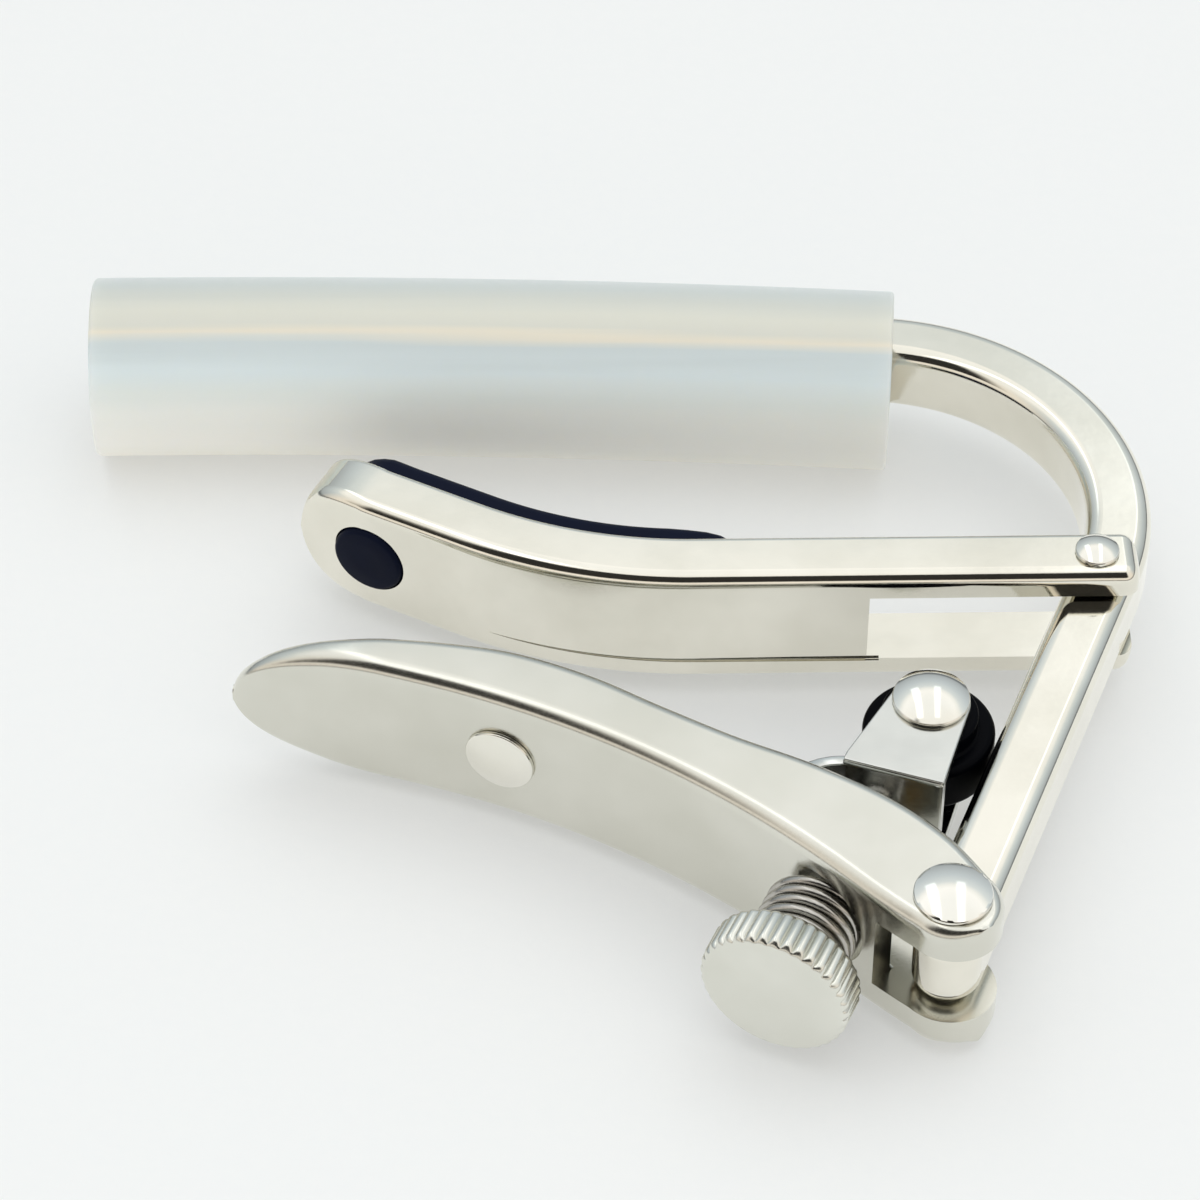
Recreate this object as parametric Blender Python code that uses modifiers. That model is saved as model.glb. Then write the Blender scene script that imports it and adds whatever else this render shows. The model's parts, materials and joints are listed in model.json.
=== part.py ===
"""Lever-operated guitar capo, lying on its side, as separate pieces with working joints.

Metres, +Z up.  X runs along the string bar, Y across from the lever to the bar, and Z is the
width of the clamp, which is also the direction of both pivot pins.  Sizes are written in
millimetres and scaled once, where each mesh is made.
"""
import bpy
import bmesh
import numpy as np
from math import cos, pi, radians, sin, sqrt
from mathutils import Matrix, Vector

MM = 0.001
MERGE = 1e-6                          # points nearer than this are one point, in metres
SHARP = radians(35)
SHIFT = (-0.746, 3.905, 7.5)          # plan origin of the drawing -> middle of the capo, on the floor

# string bar, bow and leg: one bent bar
BAR_W, BAR_H = 5.3, 6.2          # across the bend, along Z
BAR_EDGE = 1.2                   # rounded edge
BOW_C, BOW_R = (22.0, 8.6), 19.95
LEG_TILT = radians(21.2)         # leg from the Y axis
BAR_TILT = radians(3.9)          # bar's slope where it meets the bow
BAR_ARC = 766.0                  # gentle arch that follows a curved fingerboard
BAR_ANGLE = radians(4.97)        # how far the arch runs

# sleeve over the bar
SLEEVE_R = 7.5
SLEEVE_OFF = 2.6                 # sleeve axis sits this far towards the strings
SLEEVE_ARC = (radians(-0.09), radians(4.93))
CLEAR = 0.15                     # running and seating gap

# jaw: channel with a closed round tip
JAW_C, JAW_R = (6.96, 37.6), 41.0    # centre and radius of the web's outside
JAW_BEND = radians(27.0)
JAW_TILT = radians(0.86)
JAW_END_X = 42.1
JAW_H, JAW_D = 5.7, 5.0          # half width, flange depth
JAW_IN, JAW_WEB = 3.4, 1.9       # half width of the channel, web thickness
JAW_NOSE = 6.3                   # length of the round tip
JAW_TIP = 8.4                    # straight part past the bend, to the centre of the round tip
WINDOW_X = 20.7                  # web is open from here to the pin
JAW_PIN = (39.3, -0.3)
PLUG_R, PLUG_BACK = 3.1, 0.5      # pad's plug, and how far its centre is from the round tip's

# lever: channel bent to an arc, closed at the tip, two ears at the pin
LEV_C, LEV_R = (-38.06, -89.59), 78.62
LEV_H, LEV_IN, LEV_WEB = 6.5, 3.5, 2.0
LEV_TIP, LEV_PIN_S, LEV_PIN_D = 9.2, 69.13, 4.33   # arc length to tip and pin, depth of the pin
EAR_R = 3.7
LEV_TAPER = 12.0                 # length of the rounded nose
LEV_WEB_END = 65.6
LEV_PIN = (25.83, -36.69)
LEV_CURL = 0.9                   # the nose lifts this far off the arc
DEPTHS = [(9.2, 1.9), (11, 2.15), (13.3, 2.7), (18, 3.35), (21.2, 4.0), (25.2, 4.8), (30, 5.6),
          (36, 5.8), (42, 5.6), (48, 6.0), (54, 7.3), (60, 8.4), (65, 8.6), (69.13, 8.03)]

# roller and its carriage
ROLLER = (25.4, -15.6)
ROLLER_R, TREAD, HUB_R, HUB_H = 5.15, 4.1, 3.75, 7.4
EAR_IN, EAR_OUT = 3.9, 4.9       # carriage ears, inside and outside
STRIP_T = 1.0
STRIP = [(26.0, -23.9), (22.2, -22.5), (18.6, -21.35), (14.5, -21.3), (9.0, -21.0), (4.0, -19.3),
         (0.0, -17.2), (-5.0, -14.7), (-10.6, -12.55)]
EAR_ROUND = 3.05                 # ear's radius round the axle
RIVET_S = 31.2                   # strip rivet, arc length along the lever

# pins
PIN_GAP = 0.1                    # running gap of a pin in its hole and under its head
JAW_SHANK, LEV_SHANK, AXLE_SHANK, STRIP_SHANK = 1.1, 1.42, 1.22, 1.25

# adjusting screw
SCREW_FACE = (12.6, -40.8)       # middle of the knob's face
SCREW_TILT = radians(24.0)       # screw axis from the Y axis
SCREW_R = 1.9
KNOB_R, KNOB_T, RIDGES = 5.9, 3.5, 36
SPRING_R, WIRE_R, COILS = 3.5, 0.42, 5.0
SEAT_R, SEAT = 4.3, 9.5          # spring seat sunk in the web, measured from the knob's face
SCREW_TIP = 19.35                # thrust end, measured from the knob's face
BUSH_R, BUSH_TOP = 2.9, 13.2
RIDGE_DEPTH = 0.3


# ---------------------------------------------------------------- small tools
def to_world(x, y, z):
    return Vector(((x + SHIFT[0]) * MM, (y + SHIFT[1]) * MM, (z + SHIFT[2]) * MM))


def bar_at(t):
    """Point and outward normal of the bar's centreline, t radians back from the bow."""
    top = pi / 2 - BAR_TILT
    n = (cos(top), sin(top))
    start = (BOW_C[0] + BOW_R * n[0], BOW_C[1] + BOW_R * n[1])
    c = (start[0] - BAR_ARC * n[0], start[1] - BAR_ARC * n[1])
    a = top + t
    return (c[0] + BAR_ARC * cos(a), c[1] + BAR_ARC * sin(a)), (cos(a), sin(a))


def jaw_at(s):
    """Web's outside and its inward normal, s mm from the right-hand end of the jaw."""
    straight = (JAW_END_X - JAW_C[0]) * cos(JAW_TILT)
    arc = JAW_R * (JAW_BEND + JAW_TILT)
    if s < straight:
        a = -pi / 2 + JAW_TILT
        extra = straight - s
    elif s < straight + arc:
        a = -pi / 2 + JAW_TILT - (s - straight) / JAW_R
        extra = 0.0
    else:
        a = -pi / 2 - JAW_BEND
        extra = straight + arc - s
    n = (-cos(a), -sin(a))
    t = (-sin(a), cos(a))
    return (JAW_C[0] + JAW_R * cos(a) + extra * t[0],
            JAW_C[1] + JAW_R * sin(a) + extra * t[1]), n


JAW_TIP_S = (JAW_END_X - JAW_C[0]) * cos(JAW_TILT) + JAW_R * (JAW_BEND + JAW_TILT) + JAW_TIP


def lever_at(s):
    a = pi / 2 - s / LEV_R
    return (LEV_C[0] + LEV_R * cos(a), LEV_C[1] + LEV_R * sin(a)), (cos(a), sin(a))


def smooth(table, s):
    """Smooth curve through a few (s, value) pairs."""
    xs = [p[0] for p in table]
    i = min(max(int(np.searchsorted(xs, s)) - 1, 0), len(xs) - 2)
    u = (s - xs[i]) / (xs[i + 1] - xs[i])
    slope = np.gradient([p[1] for p in table], xs)
    w = xs[i + 1] - xs[i]
    p0, p1, m0, m1 = table[i][1], table[i + 1][1], slope[i] * w, slope[i + 1] * w
    return ((2 * u**3 - 3 * u**2 + 1) * p0 + (u**3 - 2 * u**2 + u) * m0
            + (3 * u**2 - 2 * u**3) * p1 + (u**3 - u**2) * m1)


def material(name, colour, metallic, rough):
    mat = bpy.data.materials.new(name)
    mat.use_nodes = True
    bsdf = mat.node_tree.nodes["Principled BSDF"]
    bsdf.inputs["Base Color"].default_value = (*colour, 1)
    bsdf.inputs["Metallic"].default_value = metallic
    bsdf.inputs["Roughness"].default_value = rough
    return mat


def finish(name, bm, mat, pivot=None):
    """Make the mesh a named object whose origin is its pivot."""
    bmesh.ops.remove_doubles(bm, verts=bm.verts, dist=MERGE)
    bmesh.ops.recalc_face_normals(bm, faces=bm.faces)
    mesh = bpy.data.meshes.new(name)
    bm.to_mesh(mesh)
    bm.free()
    mesh.materials.append(mat)
    mesh.shade_smooth()
    mesh.set_sharp_from_angle(angle=SHARP)
    obj = bpy.data.objects.new(name, mesh)
    PARTS.objects.link(obj)
    if pivot is not None:
        origin = to_world(*pivot)
        mesh.transform(Matrix.Translation(-origin))
        obj.location = origin
    return obj


def curve_mesh(curve):
    """Closed bmesh of a curve object, with its caps welded on."""
    holder = bpy.data.objects.new(curve.name, curve)
    TOOLS.objects.link(holder)
    ready = holder.evaluated_get(bpy.context.evaluated_depsgraph_get())
    bm = bmesh.new()
    bm.from_mesh(bpy.data.meshes.new_from_object(ready))
    bpy.data.objects.remove(holder)
    bmesh.ops.remove_doubles(bm, verts=bm.verts, dist=MERGE)
    bmesh.ops.recalc_face_normals(bm, faces=bm.faces)
    return bm


def poly_curve(name, points, **settings):
    """Curve of one straight-segment spline; settings are the curve's own."""
    curve = bpy.data.curves.new(name, 'CURVE')
    for key, value in settings.items():
        setattr(curve, key, value)
    spline = curve.splines.new('POLY')
    spline.points.add(len(points) - 1)
    for point, place in zip(spline.points, points):
        point.co = (*place, 1)
    return curve


def plate(outline, z0, z1, rim=0.0, segments=3):
    """Flat piece: a filled outline in plan, thickened, its two rims rounded."""
    points = [to_world(x, y, (z0 + z1) / 2) for x, y in outline]
    height = points[0].z
    curve = poly_curve("outline", [(p.x, p.y, 0) for p in points], dimensions='2D',
                       fill_mode='BOTH', extrude=(z1 - z0) / 2 * MM)
    curve.splines[0].use_cyclic_u = True
    bm = curve_mesh(curve)
    bmesh.ops.translate(bm, verts=bm.verts, vec=(0, 0, height))
    flat = [e for e in bm.edges if all(abs(f.normal.z) > 0.9 for f in e.link_faces)]
    bmesh.ops.dissolve_edges(bm, edges=flat, use_verts=False)
    if rim:
        rims = [e for e in bm.edges if abs(e.verts[0].co.z - e.verts[1].co.z) < MERGE]
        bmesh.ops.bevel(bm, geom=rims, offset=rim * MM, segments=segments, profile=0.5,
                        affect='EDGES', material=-1, clamp_overlap=False)
    return bm


def rounded_section(a, b, h, r, k=3):
    """Rounded rectangle a..b deep and -h..h wide, as (depth, z) pairs."""
    r = max(min(r, (b - a) / 2 - 0.02, h - 0.02), 0.02)
    pts = []
    for ca, ch, start in ((b - r, h - r, 0), (a + r, h - r, 90), (a + r, r - h, 180),
                          (b - r, r - h, 270)):
        for j in range(k + 1):
            t = radians(start + 90 * j / k)
            pts.append((ca + r * cos(t), ch + r * sin(t)))
    return pts


def skin(rings):
    """Closed skin over rings of the same number of points."""
    bm = bmesh.new()
    loops = [[bm.verts.new(p) for p in ring] for ring in rings]
    for r0, r1 in zip(loops, loops[1:]):
        for i in range(len(r0)):
            j = (i + 1) % len(r0)
            bm.faces.new((r0[i], r0[j], r1[j], r1[i]))
    bm.faces.new(loops[0])
    bm.faces.new(loops[-1][::-1])
    bmesh.ops.recalc_face_normals(bm, faces=bm.faces)
    return bm


def loft(path, stations, k=3):
    """Skin over rounded sections.  stations: (s, near depth, far depth, half width, round)."""
    rings = []
    for s, a, b, h, r in stations:
        (x, y), n = path(s)
        rings.append([to_world(x + d * n[0], y + d * n[1], z) for d, z in rounded_section(a, b, h, r, k)])
    return skin(rings)


def upright(axis):
    """Rotation that turns +Z onto an axis."""
    return Vector((0, 0, 1)).rotation_difference(Vector(axis))


def turned(name, profile, mat, centre, axis=(0, 0, 1), segments=32):
    """Solid of revolution: (radius, height) pairs, outside from top to bottom, spun by a Screw."""
    mesh = bpy.data.meshes.new(name)
    obj = bpy.data.objects.new(name, mesh)
    bm = bmesh.new()
    verts = [bm.verts.new((r * MM, 0, z * MM)) for r, z in profile]
    for a, b in zip(verts, verts[1:]):
        bm.edges.new((a, b))
    bmesh.ops.remove_doubles(bm, verts=bm.verts, dist=MERGE)
    bm.to_mesh(mesh)
    bm.free()
    mesh.materials.append(mat)
    PARTS.objects.link(obj)
    obj.location = to_world(*centre)
    obj.rotation_mode = 'QUATERNION'
    obj.rotation_quaternion = upright(axis)
    spin = obj.modifiers.new("spin", 'SCREW')
    spin.steps = spin.render_steps = segments
    spin.use_merge_vertices, spin.merge_threshold = True, MERGE
    return obj


def rod(r, z0, z1, centre, axis=(0, 0, 1), segments=32):
    bm = bmesh.new()
    bmesh.ops.create_cone(bm, cap_ends=True, segments=segments, radius1=r * MM, radius2=r * MM,
                          depth=(z1 - z0) * MM)
    middle = Matrix.Translation((0, 0, (z0 + z1) / 2 * MM))
    bm.transform(Matrix.Translation(to_world(*centre)) @ upright(axis).to_matrix().to_4x4() @ middle)
    return bm


def cut(obj, cutters, operation='DIFFERENCE'):
    """Boolean modifiers on obj, one for each cutter, whose meshes are in world space."""
    for bm in cutters:
        mesh = bpy.data.meshes.new("cutter")
        bm.to_mesh(mesh)
        bm.free()
        tool = bpy.data.objects.new("cutter_" + obj.name, mesh)
        tool.hide_render = True
        tool.display_type = 'WIRE'
        TOOLS.objects.link(tool)
        mod = obj.modifiers.new("cut", 'BOOLEAN')
        mod.solver, mod.operation, mod.object = 'EXACT', operation, tool


def quarter_dome(radius, rise, start, steps=5):
    """Profile of a dome from its pole down to its rim."""
    turns = [pi / 2 * i / steps for i in range(steps + 1)]
    return [(radius * sin(t), start + rise * cos(t)) for t in turns]


def rivet(name, centre, shank, grip, head, edge, dome):
    """Rivet with a low domed head at both ends."""
    up = quarter_dome(head, dome, grip + edge) + [(head, grip), (shank, grip)]
    return turned(name, up + [(r, -z) for r, z in reversed(up)], NICKEL, centre)


# ---------------------------------------------------------------- pieces
def arch_band(half, start, end, steps):
    """Outline of the arched bar, half wide each side, between two angles."""
    outer, inner = [], []
    for i in range(steps + 1):
        (x, y), n = bar_at(start + (end - start) * i / steps)
        outer.append((x + half * n[0], y + half * n[1]))
        inner.append((x - half * n[0], y - half * n[1]))
    return outer, inner


def make_frame():
    """Bar, bow and leg in one bent bar, rounded off round the lever pin."""
    half = BAR_W / 2
    outer, inner = arch_band(half, BAR_ANGLE, 0, 12)
    first, last, steps = pi / 2 - BAR_TILT, -LEG_TILT, 28
    for i in range(1, steps + 1):
        a = first + (last - first) * i / steps
        outer.append((BOW_C[0] + (BOW_R + half) * cos(a), BOW_C[1] + (BOW_R + half) * sin(a)))
        inner.append((BOW_C[0] + (BOW_R - half) * cos(a), BOW_C[1] + (BOW_R - half) * sin(a)))
    turns = [-LEG_TILT - pi * i / 12 for i in range(13)]
    end = [(LEV_PIN[0] + half * cos(a), LEV_PIN[1] + half * sin(a)) for a in turns]
    obj = finish("frame_bar", plate(outer + end + inner[::-1], -BAR_H / 2, BAR_H / 2, BAR_EDGE), NICKEL)
    cut(obj, [rod(JAW_SHANK + PIN_GAP, -5, 5, (*JAW_PIN, 0)), rod(LEV_SHANK + PIN_GAP, -5, 5, (*LEV_PIN, 0))])


def make_sleeve():
    """Thick tube pushed over the bar; the bar sits off centre, so the string side is thickest."""
    axis = []
    for i in range(15):
        (x, y), n = bar_at(SLEEVE_ARC[0] + (SLEEVE_ARC[1] - SLEEVE_ARC[0]) * i / 14)
        axis.append(to_world(x - SLEEVE_OFF * n[0], y - SLEEVE_OFF * n[1], 0))
    curve = poly_curve("sleeve_axis", axis, dimensions='3D', bevel_depth=SLEEVE_R * MM,
                       bevel_resolution=18, use_fill_caps=True)
    obj = finish("string_sleeve", curve_mesh(curve), SILICONE)
    past = radians(0.3)
    outer, inner = arch_band(BAR_W / 2 + CLEAR, SLEEVE_ARC[1] + past, SLEEVE_ARC[0] - past, 14)
    half_height = BAR_H / 2 + CLEAR
    cut(obj, [plate(outer + inner[::-1], -half_height, half_height, BAR_EDGE)])


def nose(s, s_end, half, length):
    """Half width of a blunt round end of that length."""
    u = min(max(s - s_end, 0.0) / length, 0.998)
    return half * (1 - u**2.6)**(1 / 2.6)


def jaw_curl(s):
    """The jaw's tip turns up a little towards the bar."""
    return 0.9 * (max(0.0, s - JAW_TIP_S + 2) / (JAW_NOSE + 2))**2


def make_jaw():
    """Pressed channel: shell, then the channel, the window for the leg, the plug hole, the pin."""
    st = [(0.0, 0.9, JAW_D - 0.9, JAW_H - 0.4, 0.9), (0.35, 0.3, JAW_D - 0.3, JAW_H - 0.1, 0.9),
          (1.0, 0, JAW_D, JAW_H, 0.9)]
    straight = JAW_END_X - JAW_C[0]
    st += [(s, 0, JAW_D, JAW_H, 0.9) for s in np.linspace(straight, JAW_TIP_S, 14)]
    for u in (0.2, 0.4, 0.6, 0.75, 0.86, 0.94, 0.98, 0.998):
        s, lift = JAW_TIP_S + JAW_NOSE * u, jaw_curl(JAW_TIP_S + JAW_NOSE * u)
        st.append((s, lift, JAW_D + lift, nose(s, JAW_TIP_S, JAW_H, JAW_NOSE), 0.9))
    obj = finish("jaw", loft(jaw_at, st), NICKEL, (*JAW_PIN, 0))
    ch = [(s, JAW_WEB, JAW_D + 3, JAW_IN, 0.3) for s in
          [-3, straight] + list(np.linspace(straight + 1, JAW_TIP_S, 12))]
    for u in (0.3, 0.6, 0.8, 0.92, 0.99):
        s = JAW_TIP_S + (JAW_NOSE - JAW_H + JAW_IN) * u
        half = nose(s, JAW_TIP_S, JAW_IN, JAW_NOSE - JAW_H + JAW_IN)
        ch.append((s, JAW_WEB + jaw_curl(s), JAW_D + 3, half, 0.3))
    win = [(-3, -2, 4, JAW_IN, 0.3), (JAW_END_X - WINDOW_X, -2, 4, JAW_IN, 0.3)]
    (hx, hy), n = jaw_at(JAW_TIP_S - PLUG_BACK)
    cut(obj, [loft(jaw_at, ch, 2), loft(jaw_at, win, 2),
              rod(PLUG_R + CLEAR, -2, 3.2, (hx, hy, 0), (*n, 0)),
              rod(JAW_SHANK + PIN_GAP, -8, 8, (*JAW_PIN, 0))])


def make_jaw_pad():
    """Rubber pad: core in the channel, lip over the flanges, plug through the web."""
    s0, s1 = JAW_END_X - 10.6, JAW_TIP_S + 4.2
    lip = [(s0, 0.12, 0.7, 3.9, 0.3), (s0 + 0.7, 0.12, 1.5, 4.5, 0.7), (s0 + 2.2, 0.12, 2.1, 4.7, 1.0)]
    lip += [(s, 0.12, 2.4, 4.7, 1.0) for s in np.linspace(s0 + 4.5, JAW_TIP_S, 15)]
    lip += [(JAW_TIP_S + u, 0.12, t, w, 0.9)
            for u, t, w in ((1.6, 2.35, 4.5), (2.9, 2.1, 3.9), (3.7, 1.7, 3.1), (4.2, 1.1, 2.2))]
    lip = [(s, JAW_D + jaw_curl(s) + a, JAW_D + jaw_curl(s) + b, w, r) for s, a, b, w, r in lip]
    obj = finish("jaw_pad", loft(jaw_at, lip), RUBBER, (*JAW_PIN, 0))
    core = [(s, JAW_WEB + CLEAR, JAW_D + 1.0, JAW_IN - CLEAR, 0.4)
            for s in np.linspace(s0 + 0.8, JAW_TIP_S + 0.8, 16)]
    (hx, hy), n = jaw_at(JAW_TIP_S - PLUG_BACK)
    cut(obj, [loft(jaw_at, core), rod(PLUG_R, -0.35, 3.0, (hx, hy, 0), (*n, 0))], 'UNION')


def lever_depth(s):
    """Near and far side of the flange: follows the web, then rounds the pin."""
    if s <= LEV_PIN_S:
        near = (0.63 * max(0.0, (s - 62.5) / (LEV_PIN_S - 62.5))**2
                + LEV_CURL * max(0.0, (25 - s) / (25 - LEV_TIP))**2)
        return near, smooth(DEPTHS, s)
    reach = sqrt(max(EAR_R**2 - (s - LEV_PIN_S)**2, 0.04))
    return LEV_PIN_D - reach, LEV_PIN_D + reach


def lever_half(s):
    u = max(LEV_TIP + LEV_TAPER - s, 0.0) / LEV_TAPER
    return LEV_H * sqrt(max(1 - u * u, 0.015))


def make_lever():
    """Channel with a rounded nose; the web stops short of the pin and leaves two ears."""
    st = []
    for s in ([LEV_TIP + u for u in (0, 0.15, 0.45, 1.0, 1.8, 3.0, 4.5, 6.2)]
              + list(np.linspace(17.5, LEV_PIN_S, 20))
              + [LEV_PIN_S + EAR_R * sin(a) for a in np.radians([15, 30, 45, 58, 70, 80, 87])]):
        a, b = lever_depth(s)
        st.append((s, a, b, lever_half(s), 1.2))
    obj = finish("lever", loft(lever_at, st), NICKEL, (*LEV_PIN, 0))
    ch = [(s, LEV_WEB + 0.5 * LEV_CURL * max(0.0, (25 - s) / 12), 14, min(LEV_IN, lever_half(s) - 2.7), 0.4)
          for s in [13.5, 14.5, 16, 18, 20, 23, 27] + list(np.linspace(32, 80, 9))]
    end = [(LEV_WEB_END, -4, 6, LEV_IN, 0.3), (80, -4, 6, LEV_IN, 0.3)]
    (rx, ry), n = lever_at(RIVET_S)
    cut(obj, [loft(lever_at, ch, 2), loft(lever_at, end, 2),
              rod(LEV_SHANK + PIN_GAP, -8, 8, (*LEV_PIN, 0)),
              rod(STRIP_SHANK + PIN_GAP, -2, 4, (rx, ry, 0), (*n, 0)),
              rod(BUSH_R + 0.05, 0, 14, (*SCREW_FACE, 0), SCREW_AXIS),
              rod(SEAT_R, 4, SEAT, (*SCREW_FACE, 0), SCREW_AXIS)])


def make_strip_rivet():
    """Holds the carriage strip to the web: low dome outside, flat tail inside.

    The tail stands off the strip, so that the strip can flex under it.
    """
    (rx, ry), n = lever_at(RIVET_S)
    tail = LEV_WEB + STRIP_T + 1.0
    dome = [(r, -z) for r, z in reversed(quarter_dome(2.85, 0.6, 0.3))]
    side = [(0, tail + 0.6), (2.1, tail + 0.5), (2.1, tail), (STRIP_SHANK, tail), (STRIP_SHANK, -0.05)]
    turned("strip_rivet", side + [(2.85, -0.05)] + dome, NICKEL, (rx, ry, 0), (*n, 0))


def strip_path(s):
    """Centreline of the carriage strip; s counts along its control points."""
    xs = [(i, p[0]) for i, p in enumerate(STRIP)]
    ys = [(i, p[1]) for i, p in enumerate(STRIP)]
    p = (smooth(xs, s), smooth(ys, s))
    q = (smooth(xs, min(s + 0.01, 8)), smooth(ys, min(s + 0.01, 8)))
    o = (smooth(xs, max(s - 0.01, 0)), smooth(ys, max(s - 0.01, 0)))
    t = Vector((q[0] - o[0], q[1] - o[1])).normalized()
    return p, (t[1], -t[0])


def make_carriage():
    """Bent strip: plate across the screw, two ears for the roller, long tail to the rivet."""
    widths = [(0, 4.6), (0.06, 4.88), (2, 4.88), (2.6, 4.4), (3.2, 3.3), (4, 3.1), (8, 3.1)]
    places = [0, 0.06, 0.5, 1, 1.5, 2, 2.3, 2.6, 2.9, 3.2, 3.6, 4, 4.5, 5, 5.5, 6, 6.5, 7, 7.5, 8]
    halves = np.interp(places, *zip(*widths))
    st = [(s, -STRIP_T / 2, STRIP_T / 2, half, 0.12) for s, half in zip(places, halves)]
    obj = finish("roller_carriage", loft(strip_path, st, 1), STEEL, STRIP_HINGE)
    turns = [radians(-12 + 170 * i / 13) for i in range(14)]
    ear = [(ROLLER[0] + EAR_ROUND * cos(a), ROLLER[1] + EAR_ROUND * sin(a)) for a in turns]
    ear += [(18.75, -21.1), (18.9, -21.55), (25.75, -23.85), (26.1, -23.6)]
    cut(obj, [plate(ear, EAR_IN, EAR_OUT, 0.12, 1), plate(ear, -EAR_OUT, -EAR_IN, 0.12, 1)], 'UNION')
    (rx, ry), n = lever_at(RIVET_S)
    cut(obj, [rod(AXLE_SHANK + PIN_GAP, -8, 8, (*ROLLER, 0)), rod(1.75, 0, 6, (rx, ry, 0), (*n, 0))])


def make_roller():
    """Hard rubber wheel: tread with a raised hub on both sides, free on its axle."""
    tread, hub, bore = TREAD / 2, HUB_H / 2, AXLE_SHANK + PIN_GAP
    side = [(bore, hub), (HUB_R, hub), (HUB_R, tread), (ROLLER_R - 0.5, tread),
            (ROLLER_R - 0.15, tread - 0.15), (ROLLER_R, tread - 0.5)]
    side += [(r, -z) for r, z in reversed(side)]
    turned("roller", side + side[:1], RUBBER, (*ROLLER, 0), segments=48)


def on_screw(bm):
    """Turn a shape made upright, from the knob's face upwards, onto the screw's axis."""
    bm.transform(Matrix.Translation(to_world(*SCREW_AT)) @ upright(SCREW_AXIS).to_matrix().to_4x4())
    return bm


def make_knob():
    """Knurled disc: ridges round the rim, both edges chamfered, blind bore for the screw."""
    points = RIDGES * 4
    rings = []
    for drop, z, ridged in ((0.55, 0.0, 0), (0.25, 0.12, 0), (0.0, 0.45, 1), (0.0, KNOB_T - 0.4, 1),
                            (0.35, KNOB_T, 0)):
        ring = []
        for i in range(points):
            a = 2 * pi * i / points
            groove = RIDGE_DEPTH * ridged * (i % 4 in (2, 3))
            r = (KNOB_R - drop - groove) * MM
            ring.append((r * cos(a), r * sin(a), z * MM))
        rings.append(ring)
    obj = finish("thumb_knob", on_screw(skin(rings)), NICKEL, SCREW_AT)
    cut(obj, [rod(SCREW_R + 0.05, 1.3, KNOB_T + 1, SCREW_AT, SCREW_AXIS)])


def make_screw():
    """Plain shank with a rounded thrust end that bears on the carriage plate."""
    side = [(0, SCREW_TIP + 0.1), (SCREW_R - 1.0, SCREW_TIP), (SCREW_R - 0.4, SCREW_TIP - 0.35),
            (SCREW_R, SCREW_TIP - 1.0), (SCREW_R, 1.45), (0, 1.45)]
    turned("adjusting_screw", side, STEEL, SCREW_AT, SCREW_AXIS)


def make_bush():
    """Threaded brass bush in the web."""
    bore = SCREW_R + 0.06
    side = [(bore, BUSH_TOP), (BUSH_R, BUSH_TOP), (BUSH_R, SEAT), (bore, SEAT), (bore, BUSH_TOP)]
    turned("screw_bush", side, BRASS, SCREW_AT, SCREW_AXIS)


def make_spring():
    """Coil spring between knob and seat; its push keeps the setting."""
    low, high, points = KNOB_T + 0.5, SEAT - 0.55, 96
    helix = []
    for i in range(points):
        share = i / (points - 1)
        a = 2 * pi * COILS * share
        helix.append((SPRING_R * MM * cos(a), SPRING_R * MM * sin(a), (low + (high - low) * share) * MM))
    curve = poly_curve("spring_wire", helix, dimensions='3D', bevel_depth=WIRE_R * MM,
                       bevel_resolution=1, use_fill_caps=True)
    finish("knob_spring", on_screw(curve_mesh(curve)), STEEL, SCREW_AT)


for old in list(bpy.data.objects):
    bpy.data.objects.remove(old)
PARTS = bpy.data.collections.new("guitar_capo")
TOOLS = bpy.data.collections.new("cutters")
for group in (PARTS, TOOLS):
    bpy.context.scene.collection.children.link(group)

NICKEL = material("nickel_plate", (0.78, 0.76, 0.71), 1.0, 0.15)
STEEL = material("spring_steel", (0.55, 0.55, 0.56), 1.0, 0.28)
BRASS = material("brass", (0.72, 0.55, 0.28), 1.0, 0.3)
SILICONE = material("milky_silicone", (0.83, 0.86, 0.84), 0.0, 0.35)
RUBBER = material("black_rubber", (0.015, 0.016, 0.025), 0.0, 0.5)

SCREW_AXIS, SCREW_AT = (sin(SCREW_TILT), cos(SCREW_TILT), 0), (*SCREW_FACE, 0)
(hx, hy), hn = lever_at(RIVET_S)
STRIP_HINGE = (hx + 2.6 * hn[0], hy + 2.6 * hn[1], 0)

make_frame()
make_sleeve()
make_jaw()
make_jaw_pad()
rivet("jaw_rivet", (*JAW_PIN, 0), JAW_SHANK, JAW_H + PIN_GAP, head=1.75, edge=0.3, dome=0.5)
make_lever()
rivet("lever_rivet", (*LEV_PIN, 0), LEV_SHANK, LEV_H + PIN_GAP, head=2.95, edge=0.25, dome=0.65)
make_strip_rivet()
make_carriage()
make_roller()
rivet("roller_axle", (*ROLLER, 0), AXLE_SHANK, EAR_OUT + PIN_GAP, head=3.0, edge=0.3, dome=0.9)
make_knob()
make_screw()
make_bush()
make_spring()
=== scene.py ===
# %% [markdown]
# # A lever guitar capo
# A capo clamps all six strings of a guitar at once. This one is a bent metal bar in a soft sleeve,
# a channel-shaped jaw with a rubber pad behind the neck, and a lever that pushes the jaw with a
# roller. It lies on its side here, so both pivot pins stand upright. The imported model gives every
# piece its place; this script gives each one its fine shape and its finish.

# %% Load the frame
import json
from math import asin, atan2, cos, degrees, pi, radians, sin, sqrt

import bmesh
import bpy
from mathutils import Matrix, Vector


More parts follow.
